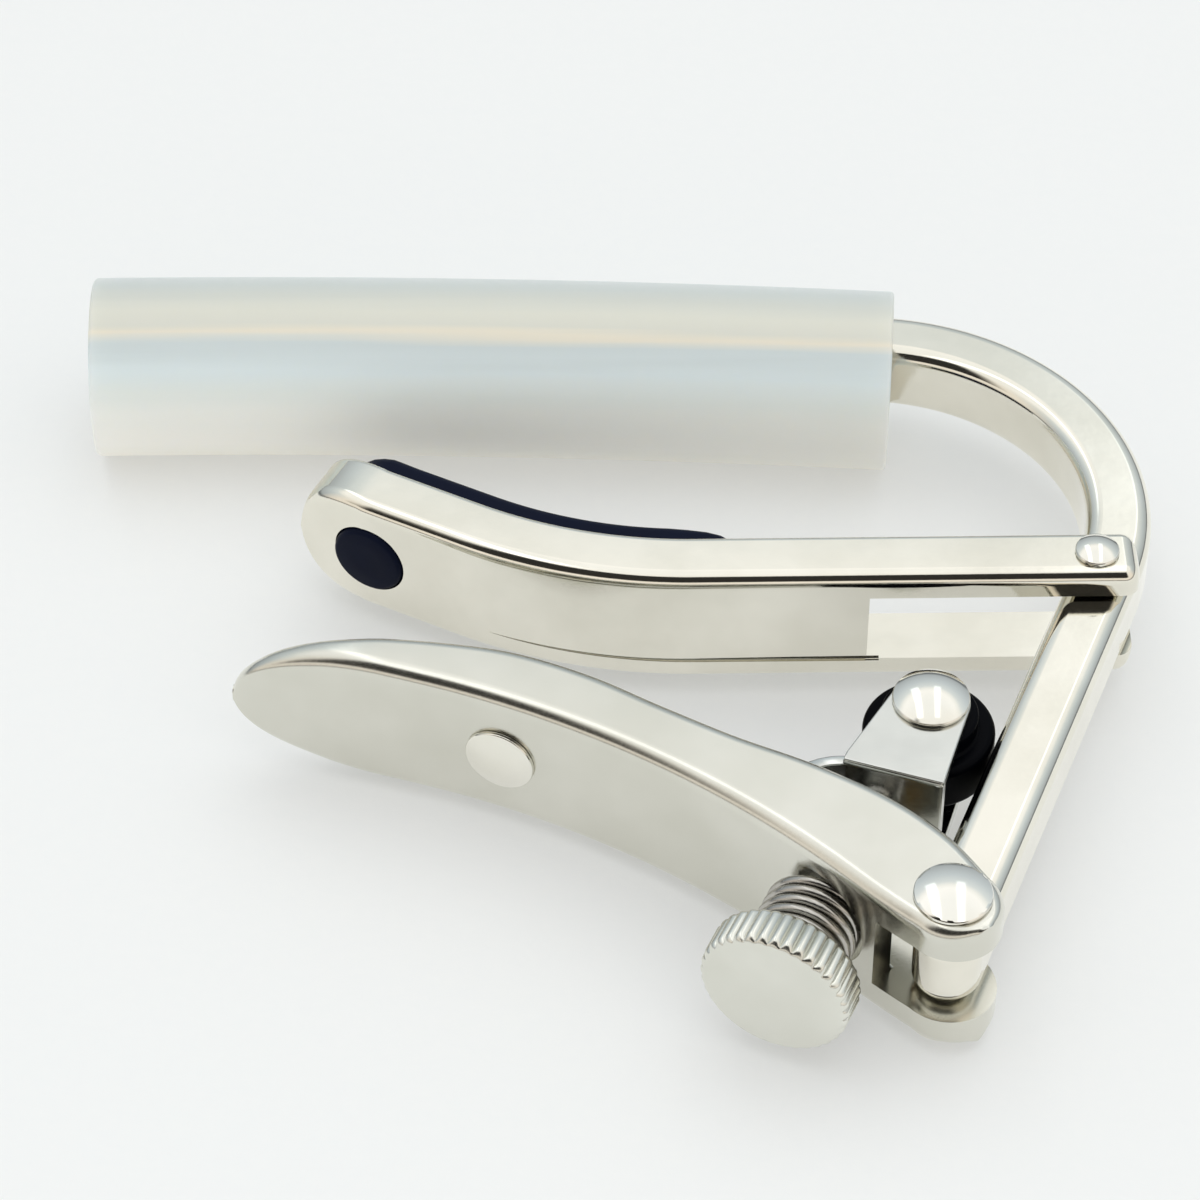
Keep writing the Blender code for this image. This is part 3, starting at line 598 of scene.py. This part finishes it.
def pad():
    s0 = JAW_END_X - 10.6
    rise = [(0.0, 0.35, 3.2), (0.25, 0.75, 3.8), (0.7, 1.15, 4.2), (1.5, 1.6, 4.5), (2.6, 1.95, 4.65),
            (4.2, 2.25, 4.7)]
    fall = [(0.9, 2.4, 4.65), (1.8, 2.3, 4.4), (2.6, 2.15, 4.0), (3.3, 1.9, 3.45), (3.8, 1.55, 2.9),
            (4.1, 1.1, 2.3), (4.2, 0.7, 1.7)]
    lip = [(s0 + u, t, w) for u, t, w in rise]
    lip += [(s, 2.4, 4.7) for s in spread(s0 + 6, JAW_TIP_S, 36)]
    lip += [(JAW_TIP_S + u, t, w) for u, t, w in fall]
    lip = [(s, JAW_D + jaw_lift(s) + 0.04, JAW_D + jaw_lift(s) + t, w, 0.12, 1.1) for s, t, w in lip]
    core = [(s, JAW_WEB + 0.05, JAW_D + 1, JAW_IN - 0.05, 0.4, 0.4)
            for s in spread(s0 + 0.8, JAW_TIP_S + 0.8, 30)]
    hole, n = jaw_at(JAW_TIP_S - PLUG_BACK)
    end = [(0, -0.32), (1.2, -0.34)] + arc(PLUG_R - 0.45, 0.07, 0.42, -80, 0, 6) + [(PLUG_R, 3.0), (0, 3.0)]
    return carve(sweep(jaw_at, lip, 6), [sweep(jaw_at, core, 3), turned(end, (*hole, 0), (*n, 0))], "UNION")


piece("neck_pad", pad(), pad_rubber, "jaw", "jaw_pad", sharp=40)

# %% [markdown]
# ## The lever
# The lever is a longer channel bent to an arc, with a rounded nose for the thumb. It deepens
# towards the pin, where the web stops and two ears are left. One table gives the flange's depth.

# %% Lever
LEV_C, LEV_R = (-38.06, -89.59), 78.62
LEV_H, LEV_IN, LEV_WEB, LEV_TAPER, LEV_CURL = 6.5, 3.5, 2.0, 12.0, 0.9
LEV_TIP, PIN_S, PIN_D, EAR_R, WEB_END, RIVET_S = 9.2, 69.13, 4.33, 3.7, 65.6, 31.2
DEPTHS = [(9.2, 1.9), (11, 2.15), (13.3, 2.7), (18, 3.35), (21.2, 4.0), (25.2, 4.8), (30, 5.6),
          (36, 5.8), (42, 5.6), (48, 6.0), (54, 7.3), (60, 8.4), (65, 8.6), (69.13, 8.03)]
SCREW_FACE, SCREW_AXIS = (12.6, -40.8), Vector(joint["screw_turn"]["axis"]).normalized()
SEAT_R, SEAT = 4.3, 9.5


def lever_at(s):
    a = pi / 2 - s / LEV_R
    return (LEV_C[0] + LEV_R * cos(a), LEV_C[1] + LEV_R * sin(a)), (cos(a), sin(a))


def lever_row(s):
    half = LEV_H * sqrt(max(1 - (max(LEV_TIP + LEV_TAPER - s, 0.0) / LEV_TAPER) ** 2, 0.012))
    if s > PIN_S:
        reach = sqrt(max(EAR_R**2 - (s - PIN_S) ** 2, 0.03))
        return s, PIN_D - reach, PIN_D + reach, half
    to_ear = max(0.0, (s - 62.5) / (PIN_S - 62.5))
    to_tip = max(0.0, (25 - s) / (25 - LEV_TIP))
    return s, 0.63 * to_ear**2 + LEV_CURL * to_tip**2, through(DEPTHS, s), half


def lever():
    nose = [LEV_TIP + LEV_TAPER * (1 - cos(radians(a))) for a in spread(2, 60, 16)]
    ear = [PIN_S + EAR_R * sin(radians(a)) for a in [*range(6, 67, 6), 71, 76, 80, 84, 87, 89]]
    body = spread(nose[-1] + 0.8, PIN_S, 60)
    shell = sweep(lever_at, [(*lever_row(s), 1.3, 1.15) for s in nose + body + ear], 7)
    hollow = [(s, LEV_WEB + 0.5 * LEV_CURL * max(0.0, (25 - s) / 12), 14,
               min(LEV_IN, lever_row(s)[3] - 2.7), 0.5, 0.1)
              for s in spread(13.5, 30, 12) + spread(31.5, 80, 40)]
    fork = [(WEB_END, -4, 6, LEV_IN, 0.4, 0.4), (80, -4, 6, LEV_IN, 0.4, 0.4)]
    return carve(shell, [sweep(lever_at, hollow, 4), sweep(lever_at, fork, 4),
                         bore(1.5, -8, 8, (*LEVER_PIN, 0)),
                         bore(2.95, 0, 14, (*SCREW_FACE, 0), SCREW_AXIS),
                         bore(SEAT_R, 4, SEAT, (*SCREW_FACE, 0), SCREW_AXIS)])


piece("clamp_lever", lever(), satin_nickel, "lever", "lever")

# %% [markdown]
# ## Rivets
# Each pin is a rivet with a low polished dome at both ends. The dome is a shallow cap on a short
# rounded edge, and the shank runs through. One profile, mirrored, is turned for all three.

# %% Rivets


def rivet(centre, shank, grip, head, edge, dome):
    r = (head**2 + dome**2) / (2 * dome)
    top = grip + edge + dome - r
    half_angle = degrees(asin((head - 0.08) / r))
    cap = arc(0, top, r, 90, 90 - half_angle, 14)
    side = arc(head - 0.12, grip + edge - 0.1, 0.12, 60, 0, 4)
    side += [(head, grip + 0.08), (head - 0.06, grip), (shank, grip)]
    up = [(max(x, 0.0), z) for x, z in cap + side]
    up[0] = (0.0, up[0][1])
    return turned(up + [(x, -z) for x, z in reversed(up)], (*centre, 0), steps=72)


EAR_OUT = 4.9
piece("jaw_pin", rivet(JAW_PIN, 1.1, JAW_H + 0.04, 1.75, 0.32, 0.5), rivet_nickel,
      "frame", "jaw_rivet")
piece("lever_pin", rivet(LEVER_PIN, 1.42, LEV_H + 0.04, 2.95, 0.3, 0.64), rivet_nickel,
      "frame", "lever_rivet")
piece("roller_pin", rivet(ROLLER, 1.22, EAR_OUT + 0.04, 3.0, 0.35, 0.9), rivet_nickel,
      "carriage", "roller_axle")

# %% [markdown]
# The rivet that holds the carriage strip has a flatter button outside and a plain tail inside.

# %% Strip rivet
rivet_at, rivet_n = lever_at(RIVET_S)
button = [(0, -0.93)] + arc(0, 6.3, 7.23, -86, -69, 8) + arc(2.68, -0.28, 0.17, -60, 30, 5)
button += [(2.85, -0.1), (2.7, -0.02), (1.25, -0.02)]
button += [(1.25, 4.0), (2.1, 4.0), (2.1, 4.4), (1.9, 4.55), (0, 4.6)]
piece("strip_button", turned(button, (*rivet_at, 0), (*rivet_n, 0)), rivet_nickel,
      "lever", "strip_rivet")

# %% [markdown]
# ## Roller and carriage
# The carriage is one steel strip, 1 mm thick. Its plate stands across the screw, its ends are bent
# over into two ears that hold the roller's axle, and a long tail runs back to the rivet. The plate is
# swept as a rounded slab, each ear is its outline filled and thickened, the tail is a second sweep,
# and all are joined into one.

# %% Carriage
SHEET = 1.0
PLATE_A, PLATE_B = Vector((18.55, -21.35)), Vector((26.0, -23.85))
PLATE_RUN = (PLATE_B - PLATE_A).normalized()
PLATE_OUT = Vector((-PLATE_RUN.y, PLATE_RUN.x))
TAIL = [(22.2, -22.6), (18.6, -21.4), (14.5, -21.3), (9.0, -21.0), (4.0, -19.3), (0.0, -17.2),
        (-5.0, -14.7), (-10.6, -12.55)]


def tail_at(s):
    xs, ys = ([(i, p[k]) for i, p in enumerate(TAIL)] for k in (0, 1))
    ahead, behind = min(s + 0.02, len(TAIL) - 1), max(s - 0.02, 0)
    run = Vector([through(v, ahead) - through(v, behind) for v in (xs, ys)]).normalized()
    return (through(xs, s), through(ys, s)), (run.y, -run.x)


def ear_outline(bm, z):
    """Ear in plan: round about the axle, straight sides down to the bend."""
    axle = Vector(ROLLER)
    first = bm.verts.new(at(*(axle + Vector((cos(radians(-14)), sin(radians(-14)))) * 3.05), z))
    made = bmesh.ops.spin(bm, geom=[first], cent=at(*ROLLER, z), axis=(0, 0, 1), dvec=(0, 0, 0),
                          angle=radians(172), steps=24, use_merge=False, use_duplicate=False)
    v = next(g for g in made["geom_last"] if isinstance(g, bmesh.types.BMVert))
    front, back = PLATE_OUT * 0.5, PLATE_OUT * 0.35
    for corner in (PLATE_A + front, PLATE_A - back, PLATE_B - back, PLATE_B + front):
        new = bmesh.ops.extrude_vert_indiv(bm, verts=[v])["verts"][0]
        new.co = at(*corner, z)
        v = new
    bm.edges.new((v, first))


def ear(z):
    bm = bmesh.new()
    ear_outline(bm, z)
    bmesh.ops.contextual_create(bm, geom=bm.edges[:])
    grown = bmesh.ops.extrude_face_region(bm, geom=bm.faces[:])["geom"]
    top = [g for g in grown if isinstance(g, bmesh.types.BMVert)]
    bmesh.ops.translate(bm, verts=top, vec=(0, 0, SHEET * mm))
    bmesh.ops.recalc_face_normals(bm, faces=bm.faces)
    rims = [e for e in bm.edges if abs(e.verts[0].co.z - e.verts[1].co.z) < 1e-7]
    bmesh.ops.bevel(bm, geom=rims, offset=0.14 * mm, segments=3, profile=0.5, affect="EDGES", material=-1,
                    clamp_overlap=False)
    return bm


def plate():
    """The standing plate with its two bends, as a rounded slab between the ears."""
    def across(s):
        p = PLATE_B + (PLATE_A - PLATE_B) * s
        return p, PLATE_OUT
    rows = [(0.0, 0.42, EAR_OUT - 0.1)]
    rows += [(s, 0.5, EAR_OUT) for s in [0.02] + spread(0.1, 0.9, 5) + [0.98]]
    rows += [(1.0, 0.42, EAR_OUT - 0.1)]
    return sweep(across, [(s, -half, half, h, 0.75, 0.1) for s, half, h in rows], 6)


def carriage():
    half = [(0, 4.6), (1.0, 4.5), (1.5, 4.1), (2, 3.2), (3, 3.1), (7, 3.1)]
    tail = sweep(tail_at, [(s, -0.5, 0.5, through(half, s), 0.18, 0.18) for s in spread(0.3, 7, 50)], 3)
    joined = carve(plate(), [ear(EAR_OUT - SHEET), ear(-EAR_OUT), tail], "UNION")
    return carve(joined, [bore(1.3, -8, 8, (*ROLLER, 0)), bore(1.7, 0, 6, (*rivet_at, 0), (*rivet_n, 0))])


piece("carriage", carriage(), strip_steel, "carriage", "roller_carriage", sharp=40)

# %% [markdown]
# The roller is a hard rubber wheel with a raised hub on both faces that keeps it off the ears.

# %% Roller
ROLLER_R, TREAD, HUB_R, HUB_H, AXLE_R = 5.15, 2.05, 3.75, 3.7, 1.3
half_wheel = [(AXLE_R, HUB_H - 0.1), (AXLE_R + 0.1, HUB_H)] + arc(HUB_R - 0.25, HUB_H - 0.25, 0.25, 90, 0, 5)
half_wheel += [(HUB_R, TREAD + 0.2), (HUB_R + 0.2, TREAD)] + arc(ROLLER_R - 0.6, TREAD - 0.6, 0.6, 90, 0, 8)
wheel = half_wheel + [(r, -h) for r, h in reversed(half_wheel)]
piece("wheel", turned(wheel, (*ROLLER, 0), steps=96, closed=True), roller_rubber,
      "roller", "roller")

# %% [markdown]
# ## Adjusting screw
# A knurled knob turns the screw, which pushes the plate and so sets the roller. The knob starts as
# a disc. Each extruded ring is scaled, and where the rim is full the ring's points are drawn in
# to grooves between 36 rounded ridges.

# %% Knob
KNOB_R, KNOB_T, RIDGES, GROOVE = 5.9, 3.5, 36, 0.34


def on_screw(bm):
    turn = Vector((0, 0, 1)).rotation_difference(SCREW_AXIS).to_matrix().to_4x4()
    bmesh.ops.transform(bm, matrix=Matrix.Translation(at(*SCREW_FACE)) @ turn, verts=bm.verts)
    return bm


def knob():
    bm = bmesh.new()
    bmesh.ops.create_circle(bm, cap_ends=True, segments=RIDGES * 10, radius=1)
    face = bm.faces[:][0]
    rows = [(4.8, 0.0, 0), (5.28, 0.0, 0), (5.42, 0.03, 0), (5.6, 0.14, 0.25), (5.78, 0.3, 0.7),
            (5.88, 0.5, 1.0), (KNOB_R, 0.8, 1), (KNOB_R, KNOB_T - 0.6, 1), (5.8, KNOB_T - 0.35, 0.9),
            (5.5, KNOB_T - 0.08, 0.2), (5.3, KNOB_T, 0), (4.6, KNOB_T, 0)]
    for k, (radius, depth, ridged) in enumerate(rows):
        if k:
            face = grow(bm, [face])[0]
        for v in face.verts:
            turn = atan2(v.co.y, v.co.x)
            groove = (1 - abs(sin(RIDGES / 2 * turn)) ** 0.7) * GROOVE * ridged
            v.co = Vector((cos(turn), sin(turn), 0)) * (radius - groove) * mm + Vector((0, 0, depth * mm))
    return on_screw(bm)


piece("knob", knob(), knob_nickel, "screw", "thumb_knob", sharp=50)

# %% [markdown]
# The screw's thread comes from one saw-tooth line whose teeth are a pitch apart. Spun once round
# while it climbs one pitch, each tooth ends where the next one starts, and the doubles are merged.

# %% Screw
SCREW_R, PITCH, SCREW_FROM, SCREW_TO = 1.9, 0.8, 1.5, 19.3
ROOT_R, POINT_FROM = SCREW_R - 0.38, SCREW_TO - 0.7


def threaded():
    bm = bmesh.new()
    count = int((SCREW_TO - SCREW_FROM) / PITCH) + 2
    line = []
    for i in range(count):
        z = SCREW_FROM - PITCH + i * PITCH
        line += [(ROOT_R, z), (ROOT_R, z + 0.1), (SCREW_R, z + 0.35), (SCREW_R, z + 0.45)]
    verts = [bm.verts.new((r * mm, 0, z * mm)) for r, z in line + [(ROOT_R, line[-4][1] + PITCH)]]
    for a, b in zip(verts, verts[1:]):
        bm.edges.new((a, b))
    steps = 32
    bmesh.ops.spin(bm, geom=bm.verts[:] + bm.edges[:], cent=(0, 0, 0), axis=(0, 0, 1),
                   dvec=(0, 0, PITCH * mm / steps), angle=2 * pi, steps=steps,
                   use_merge=False, use_duplicate=False)
    bmesh.ops.remove_doubles(bm, verts=bm.verts, dist=2e-6)
    for height, normal in ((SCREW_FROM, (0, 0, -1)), (POINT_FROM, (0, 0, 1))):
        bmesh.ops.bisect_plane(bm, geom=bm.verts[:] + bm.edges[:] + bm.faces[:],
                               plane_co=(0, 0, height * mm), plane_no=normal, clear_outer=True)
        rim = [e for e in bm.edges
               if e.is_boundary and all(abs(v.co.z - height * mm) < 1e-6 for v in e.verts)]
        bmesh.ops.contextual_create(bm, geom=rim)
    return bm


def screw():
    bm = threaded()
    point = next(f for f in bm.faces
                 if f.normal.length and abs(f.calc_center_median().z - POINT_FROM * mm) < 1e-6)
    for scale, rise in ((0.8, 0.0), (0.98, 0.25), (0.85, 0.25), (0.5, 0.15)):
        point = grow(bm, [point])[0]
        bmesh.ops.scale(bm, verts=point.verts[:], vec=(scale, scale, 1))
        bmesh.ops.translate(bm, verts=point.verts[:], vec=(0, 0, rise * mm))
    return on_screw(bm)


piece("screw", screw(), screw_steel, "screw", "adjusting_screw", sharp=40)

# %% [markdown]
# The spring is one ring of wire spun five times round the screw while it climbs a millimetre a
# turn. It travels with the knob.

# %% Spring and bush
COIL_R, WIRE_R = 3.5, 0.42


def spring():
    bm = bmesh.new()
    bmesh.ops.create_circle(bm, cap_ends=True, segments=12, radius=WIRE_R * mm)
    bmesh.ops.rotate(bm, verts=bm.verts, cent=(0, 0, 0), matrix=Matrix.Rotation(pi / 2, 3, "X"))
    bmesh.ops.translate(bm, verts=bm.verts, vec=(COIL_R * mm, 0, (KNOB_T + 0.5) * mm))
    end = bm.faces[:]
    for turns, climb in ((0.9, 0.9), (3.2, 3.2), (0.9, 0.85)):
        steps = round(turns * 36)
        made = bmesh.ops.spin(bm, geom=end, cent=(0, 0, 0), axis=(0, 0, 1), dvec=(0, 0, climb * mm / steps),
                              angle=2 * pi * turns, steps=steps, use_merge=False, use_duplicate=False)
        end = [g for g in made["geom_last"] if isinstance(g, bmesh.types.BMFace)]
    return on_screw(bm)


coil = piece("coil_spring", spring(), wire_steel, "screw_feed", "knob_spring", sharp=60)
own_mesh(coil)
collar = [(SCREW_R + 0.04, SEAT + 0.02), (2.8, SEAT + 0.02), (2.9, SEAT + 0.12), (2.9, 13.0), (2.7, 13.2),
          (SCREW_R + 0.25, 13.2), (SCREW_R + 0.04, 13.0)]
piece("bush", turned(collar, (*SCREW_FACE, 0), SCREW_AXIS, closed=True), brass,
      "lever", "screw_bush")

# %% [markdown]
# ## Table, light and camera
# The table is a pale sheet that glows a little, a painted fill light that lightens the shade on it
# under and between the parts, and it glows a bit more in mirrors, a painted brighter reflection in the
# metal. Polished metal shows the room more than itself, so the surroundings are painted with care: a
# bright studio, two tall windows high behind that draw twin streaks on each dome, a darker gap where
# a person would stand and a thin dark line at the horizon, which become the fine black lines along
# every rounded edge.

# %% Table
table = bpy.data.materials.new("table card matt white")
table.use_nodes = True
t = table.node_tree
shader = t.nodes["Principled BSDF"]
place = add(t, "ShaderNodeTexCoord").outputs["Object"]
fibre = add(t, "ShaderNodeTexNoise", {"Vector": place, "Scale": 1000 / 1.3, "Detail": 3.0})
tint = add(t, "ShaderNodeMix", {"Factor": fibre.outputs["Fac"], "A": linear("#BFC1C1"),
                                "B": linear("#BCBFC0")}, data_type="RGBA")
t.links.new(tint.outputs[2], shader.inputs["Base Color"])
bump = add(t, "ShaderNodeBump", {"Height": fibre.outputs["Fac"], "Strength": 1.0, "Distance": 0.03 * mm})
t.links.new(bump.outputs["Normal"], shader.inputs["Normal"])
shader.inputs["Roughness"].default_value = 0.6
# Painted light: the table glows everywhere to lighten the shade on it, and glows more in glossy rays, a
# painted brighter reflection in the metal.
shader.inputs["Emission Color"].default_value = linear("#FCFCFA")
mirrored = add(t, "ShaderNodeLightPath").outputs["Is Glossy Ray"]
painted_fill_glow = add(t, "ShaderNodeMath", {0: mirrored, 1: 0.15, 2: 0.34}, operation="MULTIPLY_ADD")
t.links.new(painted_fill_glow.outputs[0], shader.inputs["Emission Strength"])
sheet = bmesh.new()
bmesh.ops.create_grid(sheet, x_segments=1, y_segments=1, size=3.0)
mesh = bpy.data.meshes.new("table")
sheet.to_mesh(mesh)
sheet.free()
mesh.materials.append(table)
table_top = bpy.data.objects.new("table", mesh)
bpy.context.scene.collection.objects.link(table_top)
print("table", [round(d, 2) for d in table_top.dimensions])

# %% Surroundings
world = bpy.data.worlds.new("studio")
bpy.context.scene.world = world
world.use_nodes = True
t = world.node_tree
t.nodes.clear()


def maths(kind, *values):
    """A Math node on numbers or sockets."""
    return add(t, "ShaderNodeMath", dict(enumerate(values)), operation=kind).outputs[0]


def share(value, low, high):
    """0 at low, 1 at high."""
    span = {"Value": value, "From Min": low, "From Max": high}
    return add(t, "ShaderNodeMapRange", span).outputs["Result"]


def sky_ramp(stops):
    """Colour of the sky from the horizon to overhead; stops are (degrees up, colour)."""
    ramp = add(t, "ShaderNodeValToRGB", {"Fac": elevation})
    while len(ramp.color_ramp.elements) < len(stops):
        ramp.color_ramp.elements.new(0.5)
    for element, (degrees_up, code) in zip(ramp.color_ramp.elements, stops):
        element.position, element.color = degrees_up / 90, linear(code)
    return ramp.outputs["Color"]


def window(value, centre, half, soft):
    """1 within half of centre, falling softly to 0."""
    off = maths("ABSOLUTE", maths("SUBTRACT", value, centre))
    span = {"Value": off, "From Min": half + soft, "From Max": half}
    return add(t, "ShaderNodeMapRange", span, interpolation_type="SMOOTHSTEP").outputs["Result"]


way = add(t, "ShaderNodeTexCoord").outputs["Generated"]
x, y, z = add(t, "ShaderNodeSeparateXYZ", {"Vector": way}).outputs
azimuth = maths("ARCTAN2", x, y)
height = maths("ARCSINE", z)
over = maths("ARCTAN2", z, y)
elevation = share(height, 0.0, pi / 2)
far_sky = sky_ramp([(0, "#A0A5A8"), (4, "#55595C"), (9, "#A3AAB0"), (28, "#BDC6CD"), (40, "#D2D9DD"),
                    (46, "#EEEFEE"), (51, "#F9F9F9"), (68, "#F3F4F4")])
near_sky = sky_ramp([(0, "#BCBBB8"), (4, "#6B6864"), (9, "#E7E0D7"), (30, "#EBE4DB"), (60, "#F0EEEA"),
                     (90, "#F3F4F4")])
sky_colour = add(t, "ShaderNodeMix", {"Factor": share(y, -0.25, 0.25), "A": near_sky, "B": far_sky},
                 data_type="RGBA").outputs[2]
light = 1.0
for place, half, gain in ((-0.27, 0.05, 0.65), (0.19, 0.04, 0.5)):
    strip = maths("MULTIPLY", window(x, place, half, 0.05),
                  window(over, radians(70), radians(28), radians(5)))
    light = maths("MULTIPLY_ADD", strip, gain, light)
for front in (-pi, pi):
    person = maths("MULTIPLY", window(azimuth, front + radians(14), radians(40), radians(20)),
                   window(height, radians(45), radians(20), radians(4)))
    light = maths("MULTIPLY", light, maths("MULTIPLY_ADD", person, -0.97, 1.0))
bright = maths("MULTIPLY", light, 1.35)
sky = add(t, "ShaderNodeBackground", {"Color": sky_colour, "Strength": bright})
add(t, "ShaderNodeOutputWorld", {"Surface": sky.outputs["Background"]})
print("surroundings made from", len(t.nodes), "nodes")

# %% Soft lamps
def soft_lamp(name, place, size, energy, colour):
    """A round soft lamp aimed at the capo, which its polished metal doesn't mirror."""
    lamp = bpy.data.lights.new(name, "AREA")
    lamp.shape, lamp.size, lamp.energy, lamp.color = "DISK", size, energy, linear(colour)[:3]
    obj = bpy.data.objects.new(name, lamp)
    obj.location = place
    obj.rotation_euler = (-Vector(place)).to_track_quat("-Z", "Y").to_euler()
    obj.visible_glossy = False
    bpy.context.scene.collection.objects.link(obj)


soft_lamp("key", (0.15, 0.30, 0.80), 0.9, 0.4, "#FFFDF8")
soft_lamp("fill", (0.0, -0.55, 0.60), 0.9, 1.6, "#FBFDFF")

# %% Camera
LENS, ELEVATION, DISTANCE = 132.0, radians(45.5), 0.352
aim = at(0, 0, 0)
camera = bpy.data.objects.new("camera", bpy.data.cameras.new("camera"))
camera.data.lens, camera.data.sensor_width = LENS, 36.0
camera.data.clip_start, camera.data.clip_end = 0.01, 20
camera.location = aim + Vector((0, -cos(ELEVATION), sin(ELEVATION))) * DISTANCE
camera.rotation_euler = (pi / 2 - ELEVATION, 0, 0)
bpy.context.scene.collection.objects.link(camera)
bpy.context.scene.camera = camera
bpy.context.scene.view_settings.view_transform = "Standard"
bpy.context.scene.view_settings.look = "None"
print("camera", [round(c, 3) for c in camera.location])
